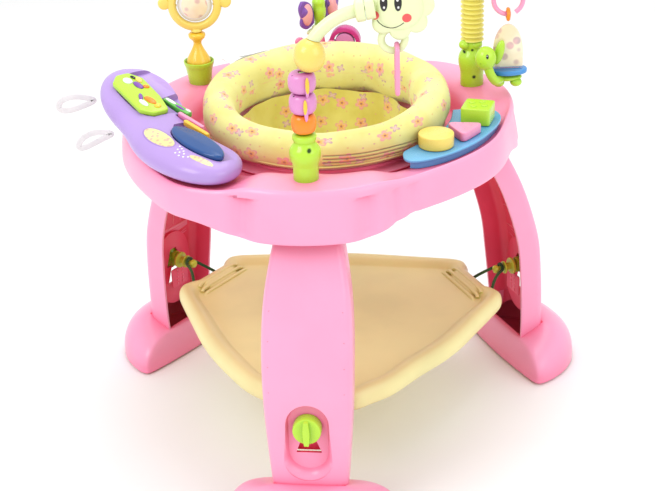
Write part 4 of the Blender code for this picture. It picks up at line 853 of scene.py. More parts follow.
# the daisy's round face plate, and the link hanging through its loop, seen edge on
DAISY = Vector((FRONT.x + 0.1225, FRONT.y + 0.0160, 0.6975))
daisy_frame = facing(DAISY)
add_part(turned("daisy_face", [(0, 0.0088), (0.0150, 0.0080), (0.0250, 0.0058),
                               (0.0290, 0.0034), (0, 0.0034)], daisy_frame))
LINK_END_R = 0.0095
LINK_STRAIGHT = 0.0460
link_outline = (arc(LINK_END_R, LINK_END_R, 0, 180, 6)
                + arc(LINK_END_R, LINK_END_R, 180, 360, 6, y=-LINK_STRAIGHT))
add_part(tube("daisy_link", [(x, y, 0) for x, y in link_outline], 0.0032,
              basis_frame(DAISY - UP * 0.0585 - SIDE * 0.004 - FACE * 0.004,
                          FACE, UP, -SIDE), cyclic=True))

# ------------------------------------------------ left station: spinner
LEFT = STATION["left"]
left_frame = Matrix.Translation(LEFT)
add_part(turned("spinner_cup",
                [(0, 0.5040), (0.0190, 0.5040), (0.0215, 0.5085), (0.0228, 0.5080),
                 (0.0222, 0.5030), (0.0200, 0.4985), (0.0165, STATION_Z),
                 (0.0080, STATION_Z), (0.0080, 0.4600), (0, 0.4600)], left_frame))
add_part(turned("spinner_stem",
                [(0, 0.5525), (0.0095, 0.5520), (0.0128, 0.5490), (0.0124, 0.5440),
                 (0.0085, 0.5405), (0.0060, 0.5370), (0.0060, 0.5330), (0.0085, 0.5270),
                 (0.0140, 0.5170), (0.0178, 0.5095), (0.0183, 0.5045), (0, 0.5045)],
                left_frame))
spin_frame = facing(LEFT + UP * 0.5935)
spinner = add_part(turned("spinner_frame",
                          [(0.0300, 0.0070), (0.0360, 0.0062), (0.0395, 0.0030),
                           (0.0395, -0.0030), (0.0360, -0.0062), (0.0300, -0.0070),
                           (0.0272, -0.0040), (0.0272, 0.0040)], spin_frame, closed=True))
for side in (-1, 1):
    ear = turned("ear", [(0, 0.0045), (0.0075, 0.0038), (0.0095, 0.0), (0.0075, -0.0038),
                         (0, -0.0045)], spin_frame @ shift(side * 0.0445, 0.0030, 0))
    boolean(spinner, ear, "UNION")
boolean(spinner, turned("foot", [(0, 0.5580), (0.0070, 0.5580), (0.0085, 0.5530),
                                 (0, 0.5530)], left_frame), "UNION")
for start, end in ((-0.0300, -0.0262), (0.0262, 0.0300)):
    axle = tube("axle", [(start, 0, 0), (end, 0, 0)], 0.0016, spin_frame)
    boolean(spinner, axle, "UNION")
add_part(turned("spinner_disc",
                [(0, 0.0095), (0.0110, 0.0085), (0.0200, 0.0055), (0.0252, 0.0012),
                 (0.0252, -0.0012), (0.0200, -0.0055), (0.0110, -0.0085), (0, -0.0095)],
                spin_frame))

# --------------------------------- right station: bendy tube's ends and turtle
RIGHT = STATION["right"]
add_part(turned("tube_base",
                [(0, 0.5418), (0.0130, 0.5418), (0.0148, 0.5395), (0.0148, 0.5335),
                 (0.0135, 0.5290), (0.0150, 0.5260), (0.0190, 0.5200), (0.0203, 0.5120),
                 (0.0195, 0.5040), (0.0176, 0.4960), (0.0170, 0.4920), (0.0170, STATION_Z),
                 (0.0080, STATION_Z), (0.0080, 0.4600), (0, 0.4600)],
                Matrix.Translation(RIGHT)))
TURTLE = Vector((0.2540, 0.0830, 0.0))
EYE_Z = 0.6325
LINK_R = 0.0210
HOOK_Z = EYE_Z - 2 * LINK_R
cap = add_part(turned("tube_cap",
                      [(0, 0.6545), (0.0175, 0.6545), (0.0185, 0.6530), (0.0185, 0.6450),
                       (0.0150, 0.6400), (0.0050, 0.6385), (0, 0.6385)],
                      Matrix.Translation(TURTLE)))
boolean(cap, tube("eyelet", [(0, y, z) for y, z in ellipse(0.0062, 0.0062, count=12)], 0.0018,
                  basis_frame(TURTLE + UP * EYE_Z, SIDE, -FACE, UP), cyclic=True), "UNION")
add_part(tube("turtle_link", [(x, y, 0) for x, y in arc(LINK_R, LINK_R, -60, 280, 20)], 0.0033,
              facing(TURTLE + UP * (EYE_Z - LINK_R))))
# the frame hangs from the hook: local X sideways, Y up, Z towards the viewer of the shell
turtle_frame = facing(TURTLE + UP * HOOK_Z)
add_part(plate("turtle_rim", ellipse(0.0285, 0.0185, 0.0005, count=18), -0.0035, 0.0035,
               turtle_frame @ shift(0, -0.0830, 0)
               @ Matrix.Rotation(math.radians(90), 4, "X"), bevel=0.0020))
turtle = add_part(ellipsoid("turtle_body", (0.0215, 0.0055, 0.0125),
                            turtle_frame @ shift(0, -0.0935, 0)))
for x in (-0.0125, 0.0125):
    boolean(turtle, ellipsoid("foot", (0.0085, 0.0065, 0.0085),
                              turtle_frame @ shift(x, -0.1000, 0.004)), "UNION")
head_frame = turtle_frame @ shift(-0.0335, -0.0560, 0.0235)
boolean(turtle, tube("neck", [(-0.0100, -0.0935, 0.0060), (-0.0190, -0.0920, 0.0215),
                              (-0.0270, -0.0800, 0.0260), (-0.0325, -0.0620, 0.0250)],
                     0.0066, turtle_frame), "UNION")
boolean(turtle, ellipsoid("head", (0.0150, 0.0175, 0.0140), head_frame), "UNION")

# ----------------------------------------------- right pocket: shape blocks
BLOCK_TRAY_Z0 = DECK_POCKET_Z + 0.0006
BLOCK_TRAY_Z1 = 0.4735
BLOCK_Z0 = BLOCK_TRAY_Z1 + 0.0004
# outlines: azimuth in degrees, radius
SHELF_EDGE = [(-49.5, 0.1830), (-52.0, 0.1930), (-53.6, 0.2050), (-53.2, 0.2150),
              (-51.0, 0.2215), (-47.0, 0.2265), (-41.0, 0.2312), (-35.0, 0.2345),
              (-29.0, 0.2375), (-23.0, 0.2405), (-17.0, 0.2430), (-11.0, 0.2458),
              (-6.0, 0.2480), (-2.0, 0.2475), (1.5, 0.2430), (4.0, 0.2350),
              (5.5, 0.2250), (5.5, 0.2130), (4.0, 0.1790), (-5.0, 0.1790),
              (-14.0, 0.1790), (-23.0, 0.1790), (-32.0, 0.1790), (-41.0, 0.1790)]
BASE_EDGE = [(-52.3, 0.2110), (-50.5, 0.2185), (-47.0, 0.2235), (-41.0, 0.2282),
             (-35.0, 0.2315), (-29.0, 0.2345), (-23.0, 0.2375), (-17.0, 0.2400),
             (-11.0, 0.2428), (-6.0, 0.2450), (-1.0, 0.2442), (2.0, 0.2385),
             (4.0, 0.2290), (4.5, 0.2110), (0.0, 0.2070), (-8.0, 0.2070),
             (-16.0, 0.2070), (-24.0, 0.2070), (-32.0, 0.2070), (-40.0, 0.2070),
             (-48.0, 0.2070)]


def polar_outline(table):
    return [(p.x, p.y) for p in (polar(radius, azimuth) for azimuth, radius in table)]


block_tray = add_part(plate("block_tray", polar_outline(BASE_EDGE), BLOCK_TRAY_Z0,
                            BLOCK_TRAY_Z1 - 0.0030))
boolean(block_tray, plate("shelf", polar_outline(SHELF_EDGE), 0.4674 + 0.0022, BLOCK_TRAY_Z1,
                          bevel=0.0012), "UNION")
# x, y, height, outline
BLOCKS = {"round": (0.1616, -0.1187, 0.0180, ellipse(0.0245, 0.0245, count=18)),
          "triangle": (0.1980, -0.0820, 0.0130,
                       rounded(ellipse(0.0310, 0.0310, count=3, turn=-91), 0.006)),
          "square": (0.2150, -0.0290, 0.0240,
                     rounded(ellipse(0.0290, 0.0290, count=4, turn=34), 0.004))}
for name, (x, y, height, outline) in BLOCKS.items():
    add_part(plate("block_" + name, outline, 0.0, height, shift(x, y, BLOCK_Z0),
                   bevel=0.0018))

# ----------------------------------- left pocket: electronic keyboard toy
# azimuth, centre radius, centre height, half width, half thickness
CASE = [(-112.8, 0.2400, 0.4740, 0.0080, 0.0050), (-113.8, 0.2405, 0.4750, 0.0230, 0.0110),
        (-116.0, 0.2415, 0.4762, 0.0350, 0.0150), (-119.5, 0.2430, 0.4775, 0.0430, 0.0180),
        (-124.0, 0.2450, 0.4788, 0.0475, 0.0198), (-130.0, 0.2460, 0.4800, 0.0490, 0.0213),
        (-137.0, 0.2470, 0.4815, 0.0495, 0.0225), (-144.0, 0.2470, 0.4845, 0.0490, 0.0235),
        (-150.0, 0.2460, 0.4880, 0.0475, 0.0230), (-155.0, 0.2465, 0.4925, 0.0465, 0.0220),
        (-160.0, 0.2510, 0.4985, 0.0510, 0.0215), (-166.0, 0.2580, 0.5060, 0.0550, 0.0215),
        (-172.0, 0.2650, 0.5135, 0.0540, 0.0210), (-177.0, 0.2710, 0.5195, 0.0470, 0.0185),
        (-180.5, 0.2760, 0.5235, 0.0330, 0.0130), (-182.5, 0.2780, 0.5255, 0.0180, 0.0070)]
case_rings = []
for azimuth, radius, z, half_width, half_height in CASE:
    case_rings.append([polar(radius + half_width * signed_power(math.cos(t), 0.85), azimuth,
                             z + half_height * signed_power(math.sin(t), 0.85))
                       for t in (2 * math.pi * i / 16 for i in range(16))])
case = add_part(loft("toy_case", case_rings, levels=2))


def sloped_frame(origin, azimuth, degrees):
    """Local X along the azimuth and Y square to it, tipped about Y."""
    across = polar(1, azimuth + 90)
    slope = Matrix.Rotation(math.radians(degrees), 3, across)
    return basis_frame(origin, slope @ polar(1, azimuth), across, slope @ UP)


# toy frame: X along the toy to its near end, Y towards the seat, Z up
TOY_AZ, TOY_SLOPE = -43.0, 6.3
toy_frame = sloped_frame((-0.1500, -0.1840, 0.4915), TOY_AZ, TOY_SLOPE)
BLUE_KEY = (0.0535, 0.0185)      # half length, half width
# seat for the keys: everything above it is cut away on the seat side
boolean(case, plate("cutter", arc(1.03 * BLUE_KEY[0], 1.08 * BLUE_KEY[1], 180, 360, 9)
                    + [(0.0560, 0.0900), (-0.1360, 0.0900), (-0.1360, 0.0345),
                       (-0.0880, 0.0345), (-0.0880, 0.0275), (-0.0640, 0.0275),
                       (-0.0640, 0.0080)], 0.0010, 0.0600, toy_frame))
add_part(plate("key_blue", ellipse(*BLUE_KEY, count=20), 0.0045, 0.0135, toy_frame,
               bevel=0.0030))
for name, bounds in (("orange", (-0.0610, -0.0080, 0.0205, 0.0272)),
                     ("pink", (-0.0850, -0.0300, 0.0290, 0.0352)),
                     ("green", (-0.1320, -0.0740, 0.0368, 0.0468))):
    add_part(plate("key_" + name, rounded(rectangle(*bounds), 0.0025), 0.0045, 0.0125,
                   toy_frame, bevel=0.0018))
# picture panel on the raised far lobe
panel_frame = sloped_frame((-0.2500, -0.0700, 0.5205), -52.0, 11.0)
PANEL = [(-0.0560, -0.0100), (-0.0400, -0.0225), (0.0400, -0.0205), (0.0570, -0.0060),
         (0.0570, 0.0165), (0.0200, 0.0215), (-0.0350, 0.0215), (-0.0560, 0.0090)]
add_part(plate("picture_panel", rounded(PANEL, 0.007), 0.0, 0.0085, panel_frame,
               bevel=0.0025))
boolean(case, plate("cutter", [(x * 1.018, y * 1.05) for x, y in PANEL[:5]]
                    + [(0.0580, 0.0600), (-0.0580, 0.0600), (-0.0580, 0.0090)],
                    -0.0015, 0.0300, panel_frame))


def strap(name, base, reach, drop, width):
    """A ribbon loop hanging out from the case."""
    points = []
    for i in range(18):
        angle = 2 * math.pi * i / 18
        along = 0.5 - 0.5 * math.cos(angle)
        lift = math.sin(angle) * width * (0.35 + 0.65 * along)
        points.append(base + reach * along + UP * (-drop * along * along + lift))
    add_part(tube(name, points, 0.0007, cyclic=True, extrude=0.0035))


strap("strap_loop_far", base=polar(0.3260, -172, 0.5060), reach=polar(0.050, -168),
      drop=0.006, width=0.0130)
strap("strap_loop_near", base=polar(0.3060, -158, 0.4840), reach=polar(0.046, -166),
      drop=0.014, width=0.0110)

# ----------------------------------------- back station: roller and butterfly
BACK_Y = 0.2200
back_base = add_part(plate("back_toy_base",
                           rounded(rectangle(-0.0700, 0.0880, -0.0150, 0.0130), 0.010),
                           0.4732, 0.4860, shift(0, BACK_Y, 0), bevel=0.0030))
boolean(back_base, turned("post", [(0, 0.5220), (0.0060, 0.5220), (0.0075, 0.5080),
                                   (0.0110, 0.4800), (0, 0.4800)],
                          shift(-0.0330, BACK_Y, 0)), "UNION")
ROLLER = (0.0060, BACK_Y, 0.5030)
add_part(plate("roller_arch",
               arc(0.0240, 0.0240, -43, 223, 14) + arc(0.0175, 0.0175, 223, -43, 12),
               -0.0090, 0.0090, basis_frame(ROLLER, (1, 0, 0), UP, (0, -1, 0))))
add_part(turned("roller", [(0, 0.0080), (0.0140, 0.0080), (0.0150, 0.0065),
                           (0.0150, -0.0065), (0.0140, -0.0080), (0, -0.0080)],
                axis_frame(ROLLER, (0, -1, 0))))
BUTTERFLY = Vector((-0.0330, BACK_Y, 0.5225))
butterfly_turn = Matrix.Rotation(math.radians(50), 3, "Z")
butterfly_frame = basis_frame(BUTTERFLY, butterfly_turn @ Vector((1, 0, 0)), UP,
                              butterfly_turn @ Vector((0, -1, 0)))
add_part(turned("butterfly_body",
                [(0, 0.0520), (0.0060, 0.0505), (0.0105, 0.0440), (0.0095, 0.0370),
                 (0.0115, 0.0300), (0.0100, 0.0200), (0.0065, 0.0120), (0.0080, 0.0060),
                 (0.0050, 0.0), (0, 0.0)], Matrix.Translation(BUTTERFLY)))
WING = [(0.0120, 0.0130), (0.0200, 0.0080), (0.0290, 0.0060), (0.0370, 0.0110),
        (0.0395, 0.0190), (0.0360, 0.0260), (0.0400, 0.0330), (0.0410, 0.0430),
        (0.0350, 0.0510), (0.0250, 0.0500), (0.0160, 0.0420), (0.0120, 0.0300)]
for side, name in ((1, "right"), (-1, "left")):
    wing = add_part(plate("butterfly_wing_" + name, [(side * x, y) for x, y in WING[::side]],
                          -0.0028, 0.0028, butterfly_frame, bevel=0.0012))
    boolean(wing, ellipsoid("dome", (0.0120, 0.0120, 0.0085),
                            butterfly_frame @ shift(side * 0.0270, 0.0330, 0)), "UNION")


# ------------------------------------------------------- corrugated bendy tube
def sweep(name, path, radius, segments):
    """Round section along a path; radius is a function of arc length."""
    directions = [(path[min(len(path) - 1, i + 1)] - path[max(0, i - 1)]).normalized()
                  for i in range(len(path))]
    normal = directions[0].orthogonal().normalized()
    rings, travelled = [], 0.0
    for i, point in enumerate(path):
        if i:
            travelled += (point - path[i - 1]).length
            normal = (normal - directions[i] * normal.dot(directions[i])).normalized()
        binormal = directions[i].cross(normal)
        size = radius(travelled)
        rings.append([point + (normal * math.cos(t) + binormal * math.sin(t)) * size
                      for t in (2 * math.pi * k / segments for k in range(segments))])
    return loft(name, rings)


RIB_PITCH = 0.0070
BEND_Z = 0.660


def bendy_path():
    """Up from the right station, over in a half circle and down to the turtle's cap."""
    middle = (RIGHT + TURTLE) / 2
    across = TURTLE - RIGHT
    bend_r = across.length / 2
    across.normalize()
    path = [RIGHT + UP * z for z in (0.5422, 0.57, 0.60, 0.63, BEND_Z)]
    for degrees in range(20, 181, 20):
        angle = math.radians(180 - degrees)
        path.append(middle + UP * BEND_Z + across * bend_r * math.cos(angle)
                    + UP * (bend_r * math.sin(angle)))
    path.append(TURTLE + UP * 0.6550)
    return resample(soften(path, False, sharp=0.003, steps=6), 0.0007)


add_part(sweep("bendy_tube", bendy_path(),
               lambda s: 0.0150 + 0.0020 * math.cos(2 * math.pi * s / RIB_PITCH), 40))

# ----- the daisy: a pillow with eight soft lobes, a hanging loop and the stub to the arm
PETAL_POINTS = 200
petal_outline = []
for i in range(PETAL_POINTS):
    angle = 2 * math.pi * i / PETAL_POINTS
    radius = 0.0345 + 0.0085 * abs(math.cos(4 * angle)) ** 0.75
    petal_outline.append((radius * math.cos(angle), radius * math.sin(angle)))
# height, share of the outline
PILLOW = ((-0.0110, 0.84), (-0.0104, 0.91), (-0.0092, 0.955), (-0.0075, 0.985),
          (-0.0050, 1.0), (-0.0020, 1.0), (0.0005, 0.985), (0.0022, 0.955),
          (0.0032, 0.91), (0.0036, 0.84), (0.0034, 0.60), (0.0034, 0.30))
add_part(loft("daisy_body", [[daisy_frame @ Vector((x * share, y * share, z))
                              for x, y in petal_outline] for z, share in PILLOW]))
# the loop, the stub and the platform's steps keep work names
add_detail(tube("daisy_loop", [(x, y, -0.004) for x, y in
                               ellipse(0.0148, 0.0146, -0.0085, -0.0425, count=30)],
                0.0046, daisy_frame, cyclic=True),
           "daisy", "pale", WORK + "daisy_loop.001")
add_detail(turned("daisy_stub", [(0, 0.0120), (0.0125, 0.0120), (0.0130, 0.0110),
                                 (0.0130, 0.0), (0, 0.0)],
                  axis_frame(ARM[-1] + ARM_END.normalized() * 0.0090, ARM_END)),
           "daisy", "pale", WORK + "daisy_stub.001")

# ----- the bounce platform: sunken floor, raised round rim, steps at each chopped corner
# degrees either side of each corner
PLATFORM_AZ = [0, 3, 5.5, 7.5, 8.5, 9.5, 10.5, 11.5, 12.5, 13.5, 15, 16.5, 18, 20, 23, 27, 31,
               36, 42, 48, 54]


def platform_shape(degrees):
    """Unscaled radius at an angle from a corner's middle: notch, chopped end, long side."""
    def side(d):
        return (0.1806 / math.cos(math.radians(60 - d))
                + 0.020 * (1 - ((60 - d) / 46.0) ** 2))

    def corner(d):
        """Rounded corner between the chopped end and the side."""
        end = 0.2510 / math.cos(math.radians(d))
        blend = 0.006
        return (-blend * math.log(math.exp(-end / blend) + math.exp(-side(d) / blend))
                + 0.0035 * smoothstep(d, 10.5, 13))
    notch = 0.2430 / math.cos(math.radians(degrees))
    if degrees <= 7.5:
        return notch
    if degrees < 10.5:
        return notch + (0.2545 - notch) * smoothstep(degrees, 7.5, 10.5)
    if degrees < 17:
        return corner(degrees)
    return side(degrees) + (corner(17) - side(17)) * (1 - smoothstep(degrees, 17, 40))


def platform_ring(inset, z):
    """The front corner is a little slimmer than the two at the back."""
    points = []
    for corner in LEG_AZ.values():
        for d in [-d for d in reversed(PLATFORM_AZ[1:])] + PLATFORM_AZ + [60]:
            azimuth = wrap(corner + d)
            share = 1.0
            if abs(azimuth + 90) < 60:
                share -= 0.070 * bell(abs(azimuth + 90), 15, 9.0)
            share -= 0.030 * bell(azimuth, -46, 16.0)
            radius = PLAT_SCALE * platform_shape(abs(d)) * share - inset
            points.append(polar(radius, corner + d, z))
    return points


# inset from the edge, drop below the top face
PLATFORM_TOP = [(0.150, 0.0112), (0.060, 0.0112), (0.0370, 0.0112), (0.0345, 0.0110),
                (0.0325, 0.0098), (0.0300, 0.0075), (0.0255, 0.0040), (0.0205, 0.0012),
                (0.0150, 0.0), (0.0095, 0.0006), (0.0050, 0.0034), (0.0018, 0.0078),
                (0.0003, 0.0130)]
# inset from the edge, height above the lowest edge
PLATFORM_FOOT = [(0.000, 0.0100), (0.0010, 0.0045), (0.0040, 0.0008), (0.0080, 0.0),
                 (0.0120, 0.0), (0.0140, 0.0010)]
PLATFORM_UNDER = [(0.0240, 0.0150), (0.150, 0.0146)]        # as the top
add_part(loft("bounce_platform",
              [platform_ring(inset, PLAT_TOP_Z - drop) for inset, drop in PLATFORM_TOP]
              + [platform_ring(inset, PLAT_BOTTOM_Z + rise) for inset, rise in PLATFORM_FOOT]
              + [platform_ring(inset, PLAT_TOP_Z - drop) for inset, drop in PLATFORM_UNDER],
              levels=1))
for azimuth in LEG_AZ.values():
    # radius, drop below the top face, half length
    for i, (radius, drop, half) in enumerate(((0.2300, 0.0022, 0.046), (0.2215, 0.0066, 0.050),
                                              (0.2130, 0.0104, 0.053))):
        z = PLAT_TOP_Z - drop
        points = [(radius - 0.0020, -half, z - 0.0035), (radius, -half + 0.004, z - 0.0012),
                  (radius, -half + 0.012, z), (radius, half - 0.012, z),
                  (radius, half - 0.004, z - 0.0012), (radius - 0.0020, half, z - 0.0035)]
        name = "platform_step_%d_%d" % (azimuth % 360, i)
        add_detail(tube(name, points, 0.0030, turn_z(azimuth)), "platform", "cream",
                   WORK + name)

for obj in PARTS.values():
    apply_all(obj)


def bvh_of(*names):
    """Search tree over the meshes of some parts."""
    bm = bmesh.new()
    for name in names:
        bm.from_mesh(PARTS[name].data)
    tree = BVHTree.FromBMesh(bm)
    bm.free()
    return tree


def inner_faces(obj, azimuth):
    """1 for each face on the inside of a leg, to be painted in dark red shade, 0 for the
    others.
    """
    unturn = Matrix.Rotation(math.radians(-azimuth), 3, "Z")
    flags = []
    for polygon in obj.data.polygons:
        centre, normal = unturn @ polygon.center, unturn @ polygon.normal
        if centre.z < 0.052:
            flags.append(0)
            continue
        inner_r = leg_r(centre.z)
        within = (abs(centre.y) < leg_w(centre.z) - 0.5 * LEG_WALL
                  and inner_r + 0.0006 < centre.x < inner_r + LEG_DEPTH - 0.5 * LEG_WALL)
        recess_wall = (centre.x > RECESS_FLOOR_R + 0.0002 and abs(centre.y) < 0.036
                       and normal.y * centre.y < 0)
        flags.append(int(within and normal.x < 0.25 and not recess_wall))
    return flags


# faces inside each leg, which take the dark red painted shade
INSIDE = {"leg_" + key: inner_faces(PARTS["leg_" + key], azimuth)
          for key, azimuth in LEG_AZ.items()}

# hollows in the back right of the deck: azimuth, depth, width; all at one radius
DECK_HOLLOWS = ((78, 0.006, 0.016), (60, 0.005, 0.014))
DECK_HOLLOW_R = 0.236
# upright creases in the skirt: azimuth, depth, width in degrees
SKIRT_CREASES = ((-107, 0.0110, 3.4), (-73, 0.0085, 3.2), (-63.5, 0.0040, 1.6),
                 (-57.5, 0.0035, 1.6), (13, 0.0085, 3.2), (47, 0.0085, 3.2),
                 (133, 0.0085, 3.2), (167, 0.0085, 3.2))


def tray_shape(point):
    """Low bosses under the toy posts, shallow hollows and soft creases."""
    radius = math.hypot(point.x, point.y)
    azimuth = math.degrees(math.atan2(point.y, point.x))
    z = point.z
    if z > 0.450 and radius > 0.195:
        for centre in STATION.values():
            distance = math.hypot(point.x - centre.x, point.y - centre.y)
            z += 0.0022 * math.exp(-(distance / 0.030) ** 4)
    for hollow_az, depth, width in DECK_HOLLOWS:
        centre = polar(DECK_HOLLOW_R, hollow_az)
        if z > 0.455:
            z -= depth * bell(math.hypot(point.x - centre.x, point.y - centre.y), 0, width)
    share = 1.0
    if z < 0.458 and radius > 0.24:
        for crease_az, depth, width in SKIRT_CREASES:
            share -= (depth / 0.30 * hump(azimuth, crease_az, width)
                      * smoothstep(z, 0.396, 0.414))
    return Vector((point.x * share, point.y * share, z))


for vertex in tray.data.vertices:
    vertex.co = tray_shape(vertex.co)
tray.data.update()


# ------------------------------------------------- sewn pad and seat bag
def add_print_uv(obj, mapping):
    """Place on the cloth's print, stored for each vertex."""
    attribute = obj.data.attributes.new("print_uv", "FLOAT_VECTOR", "POINT")
    values = np.empty(len(obj.data.vertices) * 3, dtype=np.float32)
    for i, vertex in enumerate(obj.data.vertices):
        values[3 * i:3 * i + 3] = mapping(vertex.co)
    attribute.data.foreach_set("vector", values)


def frontness(azimuth):
    return (0.5 + 0.5 * math.cos(math.radians(azimuth + 90))) ** 1.5


def pad_skin():
    bm = bmesh.new()
    columns, steps = 300, 60
    rows = []
    for i in range(columns):
        azimuth = 360.0 * i / columns
        low = frontness(azimuth)
        around = polar(1, azimuth)
        row = []
        for k in range(steps):
            angle = 2 * math.pi * k / steps
            out, up = math.cos(angle), math.sin(angle)
            radius = PAD_R + PAD_HALF_R * signed_power(out, 0.82)
            z = PAD_Z + PAD_HALF_Z * signed_power(up, 0.82)
            # at the front the pad is lower and its inner side leans outwards
            radius += low * 0.0140 * smoothstep(-out, -0.9, 0.9)
            z -= low * 0.0180 * smoothstep(up, -0.6, 0.9)
            z -= low * 0.0060 * smoothstep(-out, -0.2, 1.0) * smoothstep(up, -0.9, 0.2)
            lump = noise.noise(Vector((around.x * 2.6, around.y * 2.6, z * 12.0)))
            puff = 0.0022 * lump - 0.0008
            # radial gathers inside the back and the right
            inner = smoothstep(-out, -0.2, 0.7)
            puff += inner * 0.0028 * math.sin(math.radians(azimuth * 9 + 20 * lump)) * \
                (hump(azimuth, 70, 38) + hump(azimuth, 20, 26) + 0.5 * hump(azimuth, 120, 20))
            # gathers low on the outside at the front left and the right
            outer = smoothstep(out, 0.2, 0.7) * smoothstep(-up, -0.4, 0.4)
            puff += outer * 0.0016 * math.sin(math.radians(azimuth * 17)) * \
                (hump(azimuth, -150, 26) + hump(azimuth, 10, 20))
            row.append(bm.verts.new(polar(radius + puff * out, azimuth, z + puff * up)))
        rows.append(row)
    skin(bm, rows)
    return from_bmesh("seat_pad", bm)


def coordinates(mesh):
    values = np.empty(len(mesh.vertices) * 3)
    mesh.vertices.foreach_get("co", values)
    return values.reshape(-1, 3)


def inflate(pad):
    """Blow the pad up a little by its filling, as sewn cloth is."""
    frames, largest_move = 20, 0.0060
    remesh = pad.modifiers.new("even", "REMESH")
    remesh.mode = "VOXEL"
    remesh.voxel_size = 0.0050
    apply_all(pad)
    simulation = pad.modifiers.new("cloth", "CLOTH")
    settings = simulation.settings
    settings.quality = 6
    settings.mass = 0.25
    settings.tension_stiffness = 22
    settings.compression_stiffness = 22
    settings.shear_stiffness = 6
    settings.bending_stiffness = 0.9
    settings.use_pressure = True
    settings.uniform_pressure_force = 3.4
    settings.effector_weights.gravity = 0.0
    simulation.point_cache.frame_start = 1
    simulation.point_cache.frame_end = frames
    before = coordinates(pad.data)
    for number in range(1, frames + 1):
        scene.frame_set(number)
        bpy.context.view_layer.update()
    evaluated = pad.evaluated_get(bpy.context.evaluated_depsgraph_get())
    move = coordinates(evaluated.to_mesh()) - before
    evaluated.to_mesh_clear()
    pad.modifiers.clear()
    scene.frame_set(1)
    size = np.linalg.norm(move, axis=1)
    scale = np.where(size > largest_move, largest_move / np.maximum(size, 1e-9), 1.0)
    pad.data.vertices.foreach_set("co", (before + move * scale[:, None]).ravel())
    pad.data.update()
    subdivide(pad, 1)
    apply_all(pad)


def pad_uv(point):
    radius, azimuth = math.hypot(point.x, point.y), math.atan2(point.y, point.x)
    around = math.atan2(point.z - PAD_Z, radius - PAD_R)
    return azimuth * 0.150, around * 0.034, 0.0


seat_pad = add_part(pad_skin())
inflate(seat_pad)
add_print_uv(seat_pad, pad_uv)


def seat_bag():
    """The seat bag's cloth: gathers run down from the pad and fade at the bottom."""
    profile = soften([(0.1212, 0, 0.4620), (0.1208, 0, 0.4500), (0.1190, 0, 0.4300),
                      (0.1145, 0, 0.4000), (0.1050, 0, 0.3680), (0.0870, 0, 0.3360),
                      (0.0600, 0, 0.3150), (0.0300, 0, 0.3092), (0.0040, 0, 0.3085)],
                     False, sharp=0.01, steps=6)
    inner = [(p.x, p.z) for p in resample(profile, 0.0030)]
    outer = [(radius + 0.0022, z - 0.0012) for radius, z in inner]
    bm = bmesh.new()
    columns = 260
    rows = []
    for i in range(columns):
        azimuth = 360.0 * i / columns
        low = frontness(azimuth)
        row = []
        for radius, z in inner + outer[::-1]:
            weight = smoothstep(radius, 0.050, 0.100)
            z -= 0.0120 * low * smoothstep(z, 0.42, 0.462)
            radius += 0.0120 * low * smoothstep(z, 0.40, 0.455)
            fold = math.sin(math.radians(azimuth * 8) + 6 * (z - 0.4)) * 0.0030 * \
                (0.35 + hump(azimuth, 75, 42) + hump(azimuth, 20, 25))
            fold += math.sin(math.radians(azimuth * 19) + 9 * (z - 0.4)) * 0.0010
            row.append(bm.verts.new(polar(radius + fold * weight, azimuth, z)))
        rows.append(row)
    last = len(inner) - 1
    skin(bm, rows, skipped=last)
    # close the middle, inside and out
    bm.faces.new([row[last] for row in rows])
    bm.faces.new([row[last + 1] for row in reversed(rows)])
    return from_bmesh("seat_sling", bm)


bag = add_part(seat_bag())
for side in (1, -1):
    direction = Vector((0.62 * side, -0.62, -0.48)).normalized()
    boolean(bag, cylinder(0.043, 0.0, 0.12, axis_frame((0.030 * side, -0.034, 0.372),
                                                       direction)))
apply_all(bag)
add_print_uv(bag, lambda p: (math.atan2(p.y, p.x) * 0.125, (p.z - 0.31) * 1.15, 0.0))


# ------------------------------------------------------------ surface patches
def patch(name, tree, matrix, outline, height, body, material, rings=4, reach=0.03):
    """A thin closed patch that follows the surface it lies on.

    The outline is in local XY; rays run down local Z from `reach`.
    """
    depth = 0.0005
    axis = (matrix.to_3x3() @ UP).normalized()
    centre = Vector((sum(p[0] for p in outline) / len(outline),
                     sum(p[1] for p in outline) / len(outline)))

    def drop(x, y):
        hit, normal, _, _ = tree.ray_cast(matrix @ Vector((x, y, reach)), -axis, reach * 2.2)
        if hit is None:
            hit, normal = matrix @ Vector((x, y, 0)), axis
        return hit, -normal if normal.dot(axis) < 0 else normal
    bm = bmesh.new()
    top, bottom = [], []
    for k in range(rings + 1):
        share = k / rings
        lift = height * (1.0 if k < rings else 0.55)
        upper, lower = [], []
        for x, y in (outline if k else [centre]):
            hit, normal = drop(centre.x + (x - centre.x) * share,
                               centre.y + (y - centre.y) * share)
            upper.append(bm.verts.new(hit + normal * lift))
            lower.append(bm.verts.new(hit - normal * depth))
        top.append(upper)
        bottom.append(lower)
    count = len(outline)
    for rows, flip in ((top, False), (bottom, True)):
        for k in range(rings):
            for i in range(count):
                j = (i + 1) % count
                corners = ([rows[0][0], rows[1][i], rows[1][j]] if k == 0 else
                           [rows[k][i], rows[k + 1][i], rows[k + 1][j], rows[k][j]])
                bm.faces.new(corners[::-1] if flip else corners)
    for i in range(count):
        j = (i + 1) % count
        bm.faces.new((top[-1][i], bottom[-1][i], bottom[-1][j], top[-1][j]))
    add_detail(from_bmesh(name, bm), body, material)


